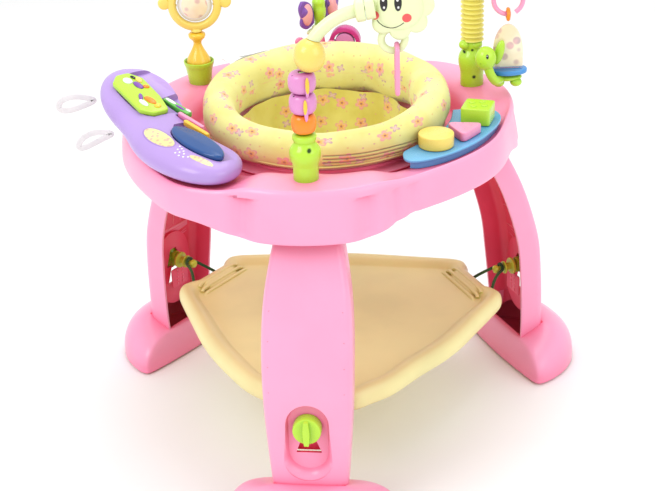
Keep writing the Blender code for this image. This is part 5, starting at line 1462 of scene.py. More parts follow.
# white woven label over the pad at the back left, with a line of thread
pad_tree = bvh_of("seat_pad")
label_frame = basis_frame((-0.1320, 0.1080, 0.5150), polar(1, 40), polar(1, 130), UP)
patch("seat_label", pad_tree, label_frame,
      [(-0.0300, -0.0130), (0.0340, -0.0170), (0.0360, 0.0150), (-0.0280, 0.0190)],
      0.0010, "seat", "label", rings=8, reach=0.045)
patch("seat_label_stitch", pad_tree, label_frame,
      [(-0.0290, -0.0120), (0.0330, -0.0160), (0.0332, -0.0150), (-0.0288, -0.0110)],
      0.0014, "seat", "thread", reach=0.045)
# piping along the pad's lower outer edge
add_detail(tube("seat_piping",
                [polar(0.1668, a, 0.4605 + 0.0008 * math.sin(math.radians(a * 5)))
                 for a in (2.0 * i for i in range(180))], 0.0016, cyclic=True), "seat", "pad")

# daisy: eyes with two glints each, round cheeks and a thin smile
face_tree = bvh_of("daisy_face")
daisy_tree = bvh_of("daisy_body", "daisy_face")
for i, x in enumerate((-0.0197, -0.0024)):
    for name, outline, height, material in (
            ("eye", ellipse(0.0046, 0.0105, x, 0.0075), 0.00035, "black"),
            ("glint", ellipse(0.0017, 0.0028, x - 0.0006, 0.0118), 0.0007, "white"),
            ("spark", ellipse(0.0013, 0.0015, x + 0.0004, 0.0018), 0.0007, "white")):
        patch("daisy_%s_%d" % (name, i), face_tree, daisy_frame, outline, height, "daisy",
              material)
for i, (x, y) in enumerate(((-0.0312, -0.0088), (0.0082, -0.0122))):
    patch("daisy_cheek_%d" % i, daisy_tree, daisy_frame, ellipse(0.0058, 0.0056, x, y),
          0.0004, "daisy", "red")
SMILE = [Vector(p) for p in (
    (-0.0282, -0.0149), (-0.0255, -0.0185), (-0.0212, -0.0222), (-0.0170, -0.0243),
    (-0.0126, -0.0252), (-0.0080, -0.0249), (-0.0036, -0.0235), (0.0005, -0.0213),
    (0.0042, -0.0185))]
for i, (start, end) in enumerate(zip(SMILE, SMILE[1:])):
    along = (end - start).normalized() * 0.0003
    across = Vector((-along.y, along.x)).normalized() * 0.00048
    patch("daisy_smile_%d" % i, daisy_tree, daisy_frame,
          [start - along - across, end + along - across, end + along + across,
           start - along + across], 0.0004, "daisy", "black", rings=2)

# --------------------------------------------------------- small details
# beads: amber grips on the orchid ones, dark eyelets at their tops
for name, z, across, half in (("bead_pink_upper", 0.6060, 0.0068, 0.0112),
                              ("bead_pink_lower", 0.5770, 0.0032, 0.0108)):
    add_detail(ellipsoid("amber_" + name, (0.0027, half, 0.0036),
                         spot(FRONT, across, z, 0.0174)), name, "amber")
for i, (across, z, radius, body) in enumerate(((-0.0110, 0.6165, 0.0140, "bead_pink_upper"),
                                               (-0.0105, 0.5895, 0.0138, "bead_pink_lower"))):
    out = math.sqrt(radius * radius - across * across)
    add_detail(ellipsoid("eyelet_%d" % i, (0.0013, 0.0013, 0.0006),
                         spot(FRONT, across, z, out)), body, "black")


def screw(name, tree, matrix, radius=0.0022):
    """A small screw hole on a round post: a dark disc of painted shade in a ring of lighter
    painted shade.
    """
    patch(name, tree, matrix, ellipse(radius, radius), 0.0003, "frame", "hole",
          rings=2, reach=0.035)
    patch(name + "_rim", tree, matrix, ellipse(radius * 1.5, radius * 1.5), 0.00015, "frame",
          "lime_dark", rings=2, reach=0.035)


screw("hole_front", bvh_of("bead_post"), spot(FRONT, 0.0055, 0.5190))
base_tree = bvh_of("tube_base")
screw("hole_right", base_tree, spot(RIGHT, 0.0015, 0.4900))
screw("hole_right_1", base_tree, spot(RIGHT, -0.0120, 0.5262), radius=0.0016)
screw("hole_right_2", base_tree, spot(RIGHT, -0.0010, 0.5300), radius=0.0016)

# leaf collar on the tube's base
for i, (across, z, half_x, half_z) in enumerate(((-0.0120, 0.5370, 0.0080, 0.0070),
                                                 (0.0050, 0.5365, 0.0090, 0.0065))):
    add_detail(ellipsoid("tube_lobe_%d" % i, (half_x, half_z, 0.0080),
                         spot(RIGHT, across, z, 0.0085)), "frame", "lime")

# butterfly: pink domes inside the wings' dark rims
for side, name in ((1, "right"), (-1, "left")):
    for face in (1, -1):
        add_detail(ellipsoid("wing_pad_%s_%d" % (name, face), (0.0105, 0.0175, 0.0080),
                             butterfly_frame @ shift(side * 0.0262, 0.0290, face * 0.0012)),
                   "butterfly", "salmon")
# leaves under it: x, distance in front, height, two half sizes, tilt in degrees
for i, (x, out, z, half_x, half_z, tilt) in enumerate((
        (-0.0440, 0.0150, 0.5235, 0.0075, 0.0040, 30),
        (-0.0360, 0.0150, 0.5225, 0.0062, 0.0050, -40),
        (-0.0385, 0.0155, 0.5280, 0.0060, 0.0045, 80))):
    add_detail(ellipsoid("leaf_%d" % i, (half_x, half_z, 0.0035),
                         facing((x, BACK_Y - out, z)) @ turn_z(tilt)), "frame", "pale")
# two hubs and their posts on the back toy
HUBS = ((-0.0625, 0.5045), (-0.0136, 0.5010))        # x, height
for i, (x, z) in enumerate(HUBS):
    matrix = axis_frame((x, BACK_Y - 0.0120, z), (0.10, -0.97, 0.25))
    add_detail(turned("hub_%d" % i, [(0, 0.0045), (0.0045, 0.0045), (0.0070, 0.0032),
                                     (0.0078, 0.0), (0.0078, -0.0100), (0, -0.0100)],
                      matrix), "frame", "rose")
    add_detail(turned("hub_eye_%d" % i, [(0, 0.0055), (0.0018, 0.0055), (0.0026, 0.0040),
                                         (0.0026, 0.0020), (0, 0.0020)], matrix),
               "frame", "magenta")
for i, (x, _) in enumerate(HUBS):
    add_detail(box("hub_post_%d" % i, (x - 0.0060, BACK_Y - 0.0060, 0.4840),
                   (x + 0.0060, BACK_Y + 0.0060, 0.5040)), "frame", "rose")

# turtle: eye, nose, collar, and the open shell with its hook and printed window
turtle_tree = bvh_of("turtle_body")
patch("turtle_eye", turtle_tree, head_frame, ellipse(0.0018, 0.0032, 0.0010, 0.0065), 0.0004,
      "turtle", "black", reach=0.02)
patch("turtle_glint", turtle_tree, head_frame, ellipse(0.0006, 0.0008, 0.0005, 0.0075),
      0.0007, "turtle", "white", rings=2, reach=0.02)
patch("turtle_nose", turtle_tree, head_frame, ellipse(0.0008, 0.0008, -0.0085, -0.0040),
      0.0003, "turtle", "lime_dark", rings=2, reach=0.02)
add_detail(ellipsoid("turtle_collar", (0.0068, 0.0185, 0.0050),
                     turtle_frame @ shift(-0.0128, -0.0530, 0.0090) @ turn_z(-14)),
           "turtle", "lime")
shell_outline = ([(0.0275, -0.0790)] + arc(0.0270, 0.0508, 0, 180, 9, 0.0005, -0.0575)
                 + [(-0.0265, -0.0790)])
window_outline = ([(0.0212, -0.0775)] + arc(0.0207, 0.0415, 0, 180, 15, 0.0005, -0.0560)
                  + [(-0.0202, -0.0775)])
shell = add_part(plate("turtle_shell", shell_outline, -0.0065, 0.0065, turtle_frame,
                       bevel=0.0018))
boolean(shell, plate("cutter", window_outline, -0.0200, 0.0200, turtle_frame))
apply_all(shell)
add_detail(tube("shell_hook", [(0, y, z) for y, z in ellipse(0.0072, 0.0072, count=24)],
                0.0028, turtle_frame, cyclic=True), "turtle", "orange")
add_detail(plate("window_print", [(0.0005 + (x - 0.0005) * 1.04, y)
                                  for x, y in window_outline],
                 -0.0022, 0.0022, turtle_frame), "turtle", "picture")

# spinner: printed picture on both sides of the disc
disc_tree = bvh_of("spinner_disc")
for i, matrix in ((1, spin_frame), (0, spin_frame @ Matrix.Rotation(math.pi, 4, "Y"))):
    patch("disc_print_%d" % i, disc_tree, matrix, ellipse(0.0190, 0.0190, count=40), 0.0003,
          "spinner", "picture")

# blocks: low studs on the square, small dots on the others, which are dimples shown as painted
# shade
block_x, block_y, block_height, _ = BLOCKS["square"]
for i, (x, y) in enumerate(((-0.0080, 0.0060), (0.0060, 0.0085), (0.0090, -0.0060),
                            (-0.0060, -0.0080))):
    add_detail(turned("stud_%d" % i, [(0, 0.0014), (0.0030, 0.0014), (0.0042, 0.0006),
                                      (0.0042, -0.0010), (0, -0.0010)],
                      shift(block_x + x, block_y + y, BLOCK_Z0 + block_height)),
               "block_square", "lime")
# dimples: dots of painted shade
for name, material, places in (
        ("round", "yellow_dark", ((-0.010, -0.006), (0.004, -0.011), (0.012, 0.002),
                                  (0.003, 0.010), (-0.009, 0.007))),
        ("triangle", "link_dark", ((-0.012, 0.009), (-0.005, 0.003), (0.006, 0.011),
                                   (0.010, 0.004), (0.001, -0.010), (-0.002, 0.012)))):
    block_x, block_y, block_height, _ = BLOCKS[name]
    tree = bvh_of("block_" + name)
    for i, (x, y) in enumerate(places):
        patch("dimple_%s_%d" % (name, i), tree,
              shift(block_x + x, block_y + y, BLOCK_Z0 + block_height),
              ellipse(0.0008, 0.0008, count=12), 0.00015, "block_" + name, material,
              rings=1, reach=0.01)

# keyboard toy: stickers, speaker dots, shapes on the panel, marks on the green key
top_frame = sloped_frame((-0.1500, -0.1840, 0.5035), TOY_AZ, TOY_SLOPE)
case_tree = bvh_of("toy_case")
patch("toy_badge", case_tree, top_frame, ellipse(0.0315, 0.0118, -0.0461, -0.0280, turn=-1),
      0.0004, "frame", "sand", rings=6, reach=0.05)
# a ring of painted shade round the badge
patch("toy_badge_rim", case_tree, top_frame,
      ellipse(0.0338, 0.0138, -0.0461, -0.0280, turn=-1),
      0.0002, "frame", "lavender_dark", rings=6, reach=0.05)
for i, (x, y) in enumerate(((-0.0070, -0.0225), (0.0000, -0.0245), (0.0065, -0.0265),
                            (-0.0030, -0.0290), (0.0045, -0.0315), (0.0120, -0.0300),
                            (0.0010, -0.0360), (0.0095, -0.0365), (0.0165, -0.0345),
                            (0.0215, -0.0305))):
    patch("speaker_%d" % i, case_tree, top_frame, ellipse(0.0015, 0.0014, x, y, count=14),
          0.0004, "frame", "white", rings=2, reach=0.05)
patch("toy_tab", case_tree, top_frame, ellipse(0.0190, 0.0048, 0.0390, -0.0222, turn=16),
      0.0004, "frame", "sand", rings=5, reach=0.05)
# x, y, half length, half width, turn in degrees, material
PANEL_SHAPES = ((-0.0340, -0.0020, 0.0085, 0.0062, 10, "white"),
                (-0.0390, 0.0085, 0.0055, 0.0020, 20, "black"),
                (-0.0300, 0.0130, 0.0080, 0.0040, 0, "yellow"),
                (-0.0170, 0.0060, 0.0110, 0.0048, 8, "purple"),
                (-0.0090, 0.0140, 0.0050, 0.0034, 40, "orange"),
                (0.0130, -0.0050, 0.0090, 0.0030, -20, "purple"),
                (0.0260, 0.0030, 0.0120, 0.0052, 12, "orange"),
                (0.0290, -0.0085, 0.0100, 0.0040, 8, "white"),
                (0.0440, 0.0055, 0.0050, 0.0050, 0, "amber"))
for i, (x, y, half_x, half_y, degrees, material) in enumerate(PANEL_SHAPES):
    add_detail(ellipsoid("panel_shape_%d" % i, (half_x, half_y, 0.0026),
                         panel_frame @ shift(x, y, 0.0088) @ turn_z(degrees)),
               "panel", material)
for i, (x, y, half_x, half_y, material) in enumerate((
        (-0.1180, 0.0420, 0.0120, 0.0028, "white"),
        (-0.0940, 0.0405, 0.0100, 0.0022, "purple"),
        (-0.0800, 0.0440, 0.0060, 0.0020, "white"))):
    add_detail(ellipsoid("key_mark_%d" % i, (half_x, half_y, 0.0014),
                         toy_frame @ shift(x, y, 0.0126)), "key_green", material)


# ribs and slot teeth inside the legs
def build_leg_inside(key, azimuth):
    turn = turn_z(azimuth)

    def ridge(name, places, radius):
        """A ridge through (sideways, height) places on the inner face of the outer wall."""
        points = [turn @ Vector((leg_r(z) + LEG_DEPTH - LEG_WALL, y, z)) for y, z in places]
        # the ridge is painted a lighter shade than the inside faces behind it
        add_detail(tube(name, points, radius), "frame", "rib_painted_shade")
    for i, (z, sag) in enumerate(((0.2060, 0.000), (0.2420, 0.004), (0.2760, 0.006),
                                  (0.3150, 0.008))):
        half = leg_w(z) * 0.84
        ridge("leg_rib_%s_%d" % (key, i),
              [(y, z + sag * math.cos(math.pi * y / half / 1.6))
               for y in (half * (-1 + 2 * k / 14) for k in range(15))], 0.0011)
    for i, y in enumerate((-0.026, -0.009, 0.020)):
        ridge("leg_spine_%s_%d" % (key, i), [(y, 0.212 + 0.0105 * k) for k in range(11)],
              0.0010)
    # the flap takes the dark red painted shade of the leg's inside
    add_detail(plate("slot_flap_" + key,
                     rounded(rectangle(-0.0190, 0.0190, 0.1090, 0.1420), 0.003),
                     0.3110, 0.3126, turn @ radial_frame(0.0, 0.0, 0.0)),
               "spool_" + key, "rib")
    # teeth in the lighter painted shade of the ridges
    for i in range(5):
        for side in (-1, 1):
            place = turn @ Vector((0.3108, 0.0060 * side, 0.1380 - 0.0060 * i))
            add_detail(ellipsoid("flap_tooth_%s_%d_%d" % (key, i, side > 0),
                                 (0.0010, 0.0016, 0.0018), Matrix.Translation(place)),
                       "spool_" + key, "rib_painted_shade")


for key, azimuth in LEG_AZ.items():
    build_leg_inside(key, azimuth)


# ----------------------------------------------------------------- materials
class Shader:
    """A material and short ways to add nodes to it."""

    def __init__(self, name):
        self.material = bpy.data.materials.new(name)
        self.material.use_nodes = True
        self.tree = self.material.node_tree
        self.surface = self.tree.nodes["Principled BSDF"].inputs

    def node(self, kind, **settings):
        node = self.tree.nodes.new(kind)
        for key, value in settings.items():
            setattr(node, key, value)
        return node

    def put(self, socket, value):
        """Link a socket, or set its value."""
        if isinstance(value, bpy.types.NodeSocket):
            self.tree.links.new(value, socket)
        elif isinstance(value, (tuple, list)) and len(value) == 3 and socket.type == "RGBA":
            socket.default_value = (*value, 1.0)
        else:
            socket.default_value = value

    def math(self, operation, *values):
        node = self.node("ShaderNodeMath", operation=operation)
        for socket, value in zip(node.inputs, values):
            self.put(socket, value)
        return node.outputs[0]

    def vector_math(self, operation, a, b):
        node = self.node("ShaderNodeVectorMath", operation=operation)
        self.put(node.inputs[0], a)
        self.put(node.inputs[1], b)
        return node.outputs[0]

    def mix(self, factor, a, b):
        """Mix two colours."""
        node = self.node("ShaderNodeMix", data_type="RGBA", blend_type="MIX")
        self.put(node.inputs[0], factor)
        self.put(node.inputs[6], a)
        self.put(node.inputs[7], b)
        return node.outputs[2]

    def noise(self, vector, scale, detail=2.0):
        node = self.node("ShaderNodeTexNoise")
        self.put(node.inputs["Vector"], vector)
        node.inputs["Scale"].default_value = scale
        node.inputs["Detail"].default_value = detail
        node.inputs["Roughness"].default_value = 0.5
        return node.outputs["Fac"]

    def band(self, value, low, high):
        """0 below low, 1 above high, smooth between."""
        node = self.node("ShaderNodeMapRange", interpolation_type="SMOOTHSTEP")
        self.put(node.inputs["Value"], value)
        node.inputs["From Min"].default_value = low
        node.inputs["From Max"].default_value = high
        return node.outputs[0]

    def fall(self, value, low, high):
        """1 below low, 0 above high, smooth between."""
        return self.math("SUBTRACT", 1.0, self.band(value, low, high))

    def position(self):
        return self.node("ShaderNodeTexCoord").outputs["Object"]

    def split(self, vector):
        node = self.node("ShaderNodeSeparateXYZ")
        self.put(node.inputs[0], vector)
        return node.outputs

    def shade(self, colour, painted_shade, reach, power):
        """Deepen the colour in corners narrower than reach, as painted shade."""
        node = self.node("ShaderNodeAmbientOcclusion", samples=8)
        node.inputs["Distance"].default_value = reach
        return self.mix(self.math("POWER", node.outputs["AO"], power), painted_shade, colour)

    def bump(self, height, strength, distance, normal=None):
        node = self.node("ShaderNodeBump")
        node.inputs["Strength"].default_value = strength
        node.inputs["Distance"].default_value = distance
        self.put(node.inputs["Height"], height)
        if normal is not None:
            self.put(node.inputs["Normal"], normal)
        return node.outputs["Normal"]


def plastic(name, rgb, painted_shade=None, rough=0.30, coat=0.15, mottle=0.05, reach=0.03, grain=0.25):
    """Moulded plastic: the third argument is its painted shade colour in corners up to reach
    wide, mottle the depth of its cloudy variation, grain the strength of its bumps."""
    shader = Shader(name)
    position = shader.position()
    cloud = shader.noise(position, scale=11.0, detail=3.0)
    fine = shader.noise(position, scale=1400.0)
    wave = shader.noise(position, scale=70.0)
    dark = tuple(c * (1 - 2 * mottle) for c in rgb)
    # painted shade colour for corners: by default a darker, richer copy of the colour
    painted_shade = painted_shade or tuple(c * c * 0.8 for c in rgb)
    colour = shader.mix(shader.band(cloud, 0.35, 0.65), rgb, dark)
    surface = shader.surface
    shader.put(surface["Base Color"], shader.shade(colour, painted_shade, reach, power=0.9))
    shader.put(surface["Roughness"], shader.math("MULTIPLY_ADD", fine, 0.14, rough - 0.07))
    surface["Coat Weight"].default_value = coat
    surface["Coat Roughness"].default_value = 0.12
    surface["Specular IOR Level"].default_value = 0.45
    height = shader.math("MULTIPLY_ADD", fine, 0.35, wave)
    shader.put(surface["Normal"], shader.bump(height, strength=grain, distance=0.00025))
    return shader.material


# Each motif paints one printed cell over the ground: `random` holds three random values of the
# cell, `distance` runs from its middle, and x, y are measured from it.
def motif_angle(shader, random, x, y):
    return shader.math("ADD", shader.math("ARCTAN2", y, x),
                       shader.math("MULTIPLY", random[0], 6.28))


def flower(shader, ground, random, distance, x, y):
    angle = motif_angle(shader, random, x, y)
    shown = shader.math("GREATER_THAN", random[1], 0.34)
    lobe = shader.math("ABSOLUTE", shader.math("COSINE", shader.math("MULTIPLY", angle, 2.5)))
    edge = shader.math("MULTIPLY_ADD", lobe, 0.0052, 0.0056)
    warm = shader.mix(shader.math("GREATER_THAN", random[2], 0.5),
                      (0.93, 0.36, 0.42), (0.95, 0.52, 0.30))
    petal = shader.mix(shader.band(shader.math("DIVIDE", distance, edge), 0.30, 0.66),
                       (0.90, 0.40, 0.10), warm)
    rim = shader.band(shader.math("DIVIDE", distance, edge), 0.74, 0.84)
    petal = shader.mix(rim, petal, (0.86, 0.28, 0.42))
    past_edge = shader.math("SUBTRACT", distance, edge)
    inside = shader.math("MULTIPLY", shown, shader.fall(past_edge, -0.0004, 0.0004))
    colour = shader.mix(shader.math("MULTIPLY", inside, 0.74), ground, petal)
    heart = shader.math("MULTIPLY", shown, shader.fall(distance, 0.0014, 0.0024))
    return shader.mix(shader.math("MULTIPLY", heart, 0.85), colour, (0.45, 0.14, 0.16))


def butterfly(shader, ground, random, distance, x, y):
    angle = motif_angle(shader, random, x, y)
    shown = shader.math("GREATER_THAN", random[1], 0.45)
    wing = shader.math("ABSOLUTE", shader.math("COSINE", angle))
    nick = shader.math("ABSOLUTE", shader.math("SINE", shader.math("MULTIPLY", angle, 2.0)))
    edge = shader.math("MULTIPLY", shader.math("MULTIPLY_ADD", nick, 0.0060, 0.0020),
                       shader.math("MULTIPLY_ADD", wing, 0.45, 0.62))
    past_edge = shader.math("SUBTRACT", distance, edge)
    inside = shader.math("MULTIPLY", shown, shader.fall(past_edge, -0.0003, 0.0003))
    tint = shader.mix(shader.band(shader.math("DIVIDE", distance, edge), 0.35, 0.80),
                      (0.80, 0.50, 0.62), (0.52, 0.24, 0.42))
    return shader.mix(shader.math("MULTIPLY", inside, 0.70), ground, tint)


def dot(shader, ground, random, distance, x, y):
    shown = shader.math("GREATER_THAN", random[1], 0.30)
    inside = shader.math("MULTIPLY", shown, shader.fall(distance, 0.0009, 0.0017))
    tint = shader.mix(random[2], (0.66, 0.30, 0.38), (0.80, 0.52, 0.18))
    return shader.mix(shader.math("MULTIPLY", inside, 0.75), ground, tint)


def print_layer(shader, uv, ground, scale, motif, offset):
    """One motif scattered over the cloth, a cell to each."""
    place = shader.vector_math("ADD", uv, (offset, offset * 1.7, 0.0))
    cells = shader.node("ShaderNodeTexVoronoi", voronoi_dimensions="2D", feature="F1")
    cells.inputs["Scale"].default_value = scale
    cells.inputs["Randomness"].default_value = 0.62
    shader.put(cells.inputs["Vector"], place)
    local = shader.split(shader.vector_math("SUBTRACT", place, cells.outputs["Position"]))
    random = shader.node("ShaderNodeSeparateColor")
    shader.put(random.inputs[0], cells.outputs["Color"])
    x, y = local[0], local[1]
    distance = shader.math("SQRT", shader.math("ADD", shader.math("MULTIPLY", x, x),
                                               shader.math("MULTIPLY", y, y)))
    return motif(shader, ground, random.outputs, distance, x, y)


def cloth(name, base, shadow, prints=(), weave=1.0, pleated=False):
    """Woven cotton; prints are (scale, motif, offset) layers laid out on print_uv."""
    shader = Shader(name)
    if prints:
        uv = shader.node("ShaderNodeAttribute", attribute_name="print_uv").outputs["Vector"]
    position = shader.position()
    cloud = shader.noise(position, scale=24.0, detail=3.0)
    colour = shader.mix(shader.band(cloud, 0.3, 0.7), base, shadow)
    for scale, motif, offset in prints:
        colour = print_layer(shader, uv, colour, scale, motif, offset)
    # painted shade: corners narrower than 3 cm darken towards a darker copy of the second
    # colour
    painted_shade = tuple(c * 0.62 for c in shadow)
    colour = shader.shade(colour, painted_shade, reach=0.03, power=0.8)
    surface = shader.surface
    surface["Roughness"].default_value = 0.86
    surface["Sheen Weight"].default_value = 0.25
    surface["Sheen Roughness"].default_value = 0.5
    surface["Specular IOR Level"].default_value = 0.2
    x, y, z = shader.split(position)
    thread_density = 5200.0
    warp = shader.math("SINE", shader.math("MULTIPLY", shader.math("ADD", x, z),
                                           thread_density))
    weft = shader.math("SINE", shader.math("MULTIPLY", shader.math("SUBTRACT", y, z),
                                           thread_density))
    if pleated:
        # pleats over one stretch of the print's u, low on its v, with painted shade in their
        # folds
        u, v, _ = shader.split(uv)
        stretch = shader.math("MULTIPLY", shader.band(u, -0.2235, -0.2225),
                              shader.fall(u, -0.1300, -0.0900))
        stretch = shader.math("MULTIPLY", stretch, shader.fall(v, -0.0130, -0.0100))
        pleat = shader.math("ABSOLUTE", shader.math("SINE",
                                                    shader.math("MULTIPLY", v, 480.0)))
        pleat = shader.math("POWER", pleat, 0.45)
        pleat = shader.math("MULTIPLY", shader.math("SUBTRACT", pleat, 1.0), stretch)
        # painted shade: the folds of the pleats darken
        depth = shader.math("MULTIPLY", shader.math("MULTIPLY", pleat, -1.0), 0.75)
        colour = shader.mix(depth, colour, painted_shade)
    shader.put(surface["Base Color"], colour)
    threads = shader.math("MULTIPLY", shader.math("MULTIPLY", warp, weft), 0.35 * weave)
    height = shader.math("ADD", threads, shader.noise(position, scale=260.0, detail=3.0))
    normal = shader.bump(height, strength=0.35, distance=0.0004)
    if pleated:
        normal = shader.bump(pleat, strength=1.0, distance=0.0030, normal=normal)
    shader.put(surface["Normal"], normal)
    return shader.material


def picture(name, ground, scale):
    """A printed sticker: soft floral blots on a pale ground."""
    shader = Shader(name)
    position = shader.position()
    cells = shader.node("ShaderNodeTexVoronoi", feature="F1")
    cells.inputs["Scale"].default_value = scale
    shader.put(cells.inputs["Vector"], position)
    away = shader.band(cells.outputs["Distance"], 0.25, 0.42)
    tint = shader.mix(shader.band(shader.noise(position, scale * 0.7), 0.35, 0.65),
                      (0.75, 0.22, 0.38), (0.28, 0.12, 0.30))
    blot = shader.math("MULTIPLY", shader.math("SUBTRACT", 1.0, away), 0.55)
    colour = shader.mix(blot, ground, tint)
    wash = shader.band(shader.noise(position, scale * 0.35, detail=3.0), 0.40, 0.65)
    colour = shader.mix(shader.math("MULTIPLY", wash, 0.35), colour, (0.86, 0.52, 0.20))
    shader.put(shader.surface["Base Color"], colour)
    shader.surface["Roughness"].default_value = 0.22
    shader.surface["Coat Weight"].default_value = 0.5
    grain = shader.bump(shader.noise(position, scale=400.0), strength=0.2, distance=0.0002)
    shader.put(shader.surface["Normal"], grain)
    return shader.material


# painted shade of the pink plastic in its corners, hollows and the well round the seat
PINK_PAINTED_SHADE = (0.96, 0.10, 0.22)
MATERIALS = {
    "pink": plastic("pink_plastic", (0.95, 0.37, 0.57), PINK_PAINTED_SHADE, rough=0.32, coat=0.20,
                    mottle=0.02, reach=0.10, grain=0.12),
    "pink_small": plastic("pink_small", (0.93, 0.33, 0.50), PINK_PAINTED_SHADE, coat=0.25,
                          mottle=0.03, reach=0.02),
    # the inside of the legs and the slot flaps: the pink plastic in dark red painted shade
    "rib": plastic("leg_inside", (0.90, 0.10, 0.20), (0.80, 0.03, 0.08), rough=0.42,
                   coat=0.05, mottle=0.04, reach=0.04),
    "rubber": plastic("foot_rubber", (0.62, 0.16, 0.28), rough=0.75, coat=0.0, mottle=0.08,
                      reach=0.01, grain=0.6),
    "cream": plastic("cream_plastic", (0.86, 0.77, 0.36), (0.62, 0.52, 0.14), rough=0.40,
                     coat=0.08, mottle=0.03, reach=0.04, grain=0.35),
    "spool": plastic("spool_plastic", (0.62, 0.68, 0.06), (0.25, 0.28, 0.01), rough=0.4),
    "lime": plastic("lime_plastic", (0.50, 0.80, 0.045), (0.22, 0.46, 0.01), rough=0.26,
                    coat=0.3, mottle=0.03, reach=0.02),
    "orange": plastic("orange_plastic", (0.98, 0.28, 0.01), (0.75, 0.10, 0.0), rough=0.24,
                      coat=0.35),
    "amber": plastic("amber_plastic", (0.95, 0.62, 0.05), (0.70, 0.30, 0.0), rough=0.24,
                     coat=0.35),
    "orchid": plastic("orchid_plastic", (0.78, 0.30, 0.62), (0.42, 0.06, 0.28), rough=0.26,
                      coat=0.3),
    "yellow": plastic("yellow_plastic", (0.94, 0.74, 0.16), (0.68, 0.40, 0.03), rough=0.26,
                      coat=0.3),
    "tube": plastic("tube_plastic", (0.92, 0.84, 0.20), (0.66, 0.56, 0.05), rough=0.34,
                    coat=0.1, mottle=0.03, reach=0.005),
    "pale": plastic("pale_green_plastic", (0.82, 0.88, 0.52), (0.48, 0.58, 0.18), coat=0.2,
                    mottle=0.03, reach=0.02),
    "link": plastic("link_plastic", (0.92, 0.36, 0.56), (0.62, 0.08, 0.24), rough=0.28,
                    coat=0.25),
    "sky": plastic("sky_plastic", (0.16, 0.50, 0.80), (0.03, 0.20, 0.48), rough=0.26,
                   coat=0.3),
    "blue": plastic("blue_plastic", (0.06, 0.30, 0.70), (0.01, 0.10, 0.35), rough=0.24,
                    coat=0.3),
    "navy": plastic("navy_plastic", (0.008, 0.075, 0.28), (0.003, 0.02, 0.10), rough=0.16,
                    coat=0.3, reach=0.01, grain=0.03),
    "lavender": plastic("lavender_plastic", (0.47, 0.31, 0.70), (0.28, 0.15, 0.46),
                        rough=0.32, coat=0.25, mottle=0.03, grain=0.15),
    "purple": plastic("purple_plastic", (0.22, 0.07, 0.42), (0.07, 0.01, 0.16), rough=0.26,
                      coat=0.3),
    "magenta": plastic("magenta_plastic", (0.62, 0.03, 0.26), (0.30, 0.0, 0.10), rough=0.26,
                       coat=0.3),
    "white": plastic("white_plastic", (0.90, 0.90, 0.88), (0.60, 0.60, 0.60), rough=0.35,
                     coat=0.1),
    "red": plastic("red_plastic", (0.85, 0.10, 0.10), (0.5, 0.02, 0.02), coat=0.2),
    "salmon": plastic("salmon_plastic", (0.95, 0.42, 0.44), (0.70, 0.10, 0.14), rough=0.28,
                      coat=0.3),
    "rose": plastic("rose_plastic", (0.92, 0.22, 0.42), (0.60, 0.02, 0.14), rough=0.28,
                    coat=0.3),
    # ridges and teeth inside the legs: the pink plastic in painted shade, lighter than on the
    # faces behind them
    "rib_painted_shade": plastic("leg_inside_ridges", (0.96, 0.26, 0.36), (0.90, 0.08, 0.14),
                         rough=0.40, coat=0.05),
    "hole": plastic("hole_shade", (0.03, 0.07, 0.01), (0.01, 0.02, 0.0), rough=0.7, coat=0.0),
    "lime_dark": plastic("lime_shade", (0.30, 0.52, 0.02), (0.12, 0.25, 0.0), rough=0.45,
                         coat=0.1),
    "yellow_dark": plastic("yellow_shade", (0.72, 0.50, 0.08), (0.4, 0.2, 0.0), rough=0.45,
                           coat=0.1),
    "link_dark": plastic("pink_shade", (0.70, 0.20, 0.34), (0.4, 0.04, 0.12), rough=0.45,
                         coat=0.1),
    "lavender_dark": plastic("lavender_shade", (0.38, 0.24, 0.62), (0.18, 0.08, 0.34),
                             rough=0.4, coat=0.1),
    "thread": cloth("grey_thread", (0.60, 0.58, 0.60), (0.48, 0.46, 0.50)),
    "sand": picture("sand_sticker", (0.80, 0.74, 0.34), scale=150.0),
    "picture": picture("picture_sticker", (0.93, 0.84, 0.62), scale=60.0),
    "black": plastic("black_plastic", (0.012, 0.010, 0.010), (0.004, 0.004, 0.004),
                     rough=0.15, coat=0.5, mottle=0.0, reach=0.005, grain=0.05),
    "green": plastic("green_plastic", (0.16, 0.55, 0.10), (0.03, 0.25, 0.02), rough=0.26,
                     coat=0.3),
    "cord": cloth("elastic_cord", (0.07, 0.16, 0.05), (0.02, 0.07, 0.02), weave=3.0),
    "webbing": cloth("white_webbing", (0.86, 0.84, 0.84), (0.74, 0.72, 0.74), weave=2.5),
    "label": cloth("white_label", (0.90, 0.90, 0.88), (0.80, 0.80, 0.80), weave=0.6),
    "pad": cloth("printed_cotton", (0.84, 0.82, 0.33), (0.78, 0.73, 0.24), pleated=True,
                 prints=((23.0, butterfly, 0.31), (25.0, flower, 0.0), (52.0, dot, 0.57))),
    "sling": cloth("printed_cotton_seat", (0.78, 0.72, 0.20), (0.68, 0.60, 0.12),
                   prints=((22.0, butterfly, 0.13), (24.0, flower, 0.41), (50.0, dot, 0.77))),
}

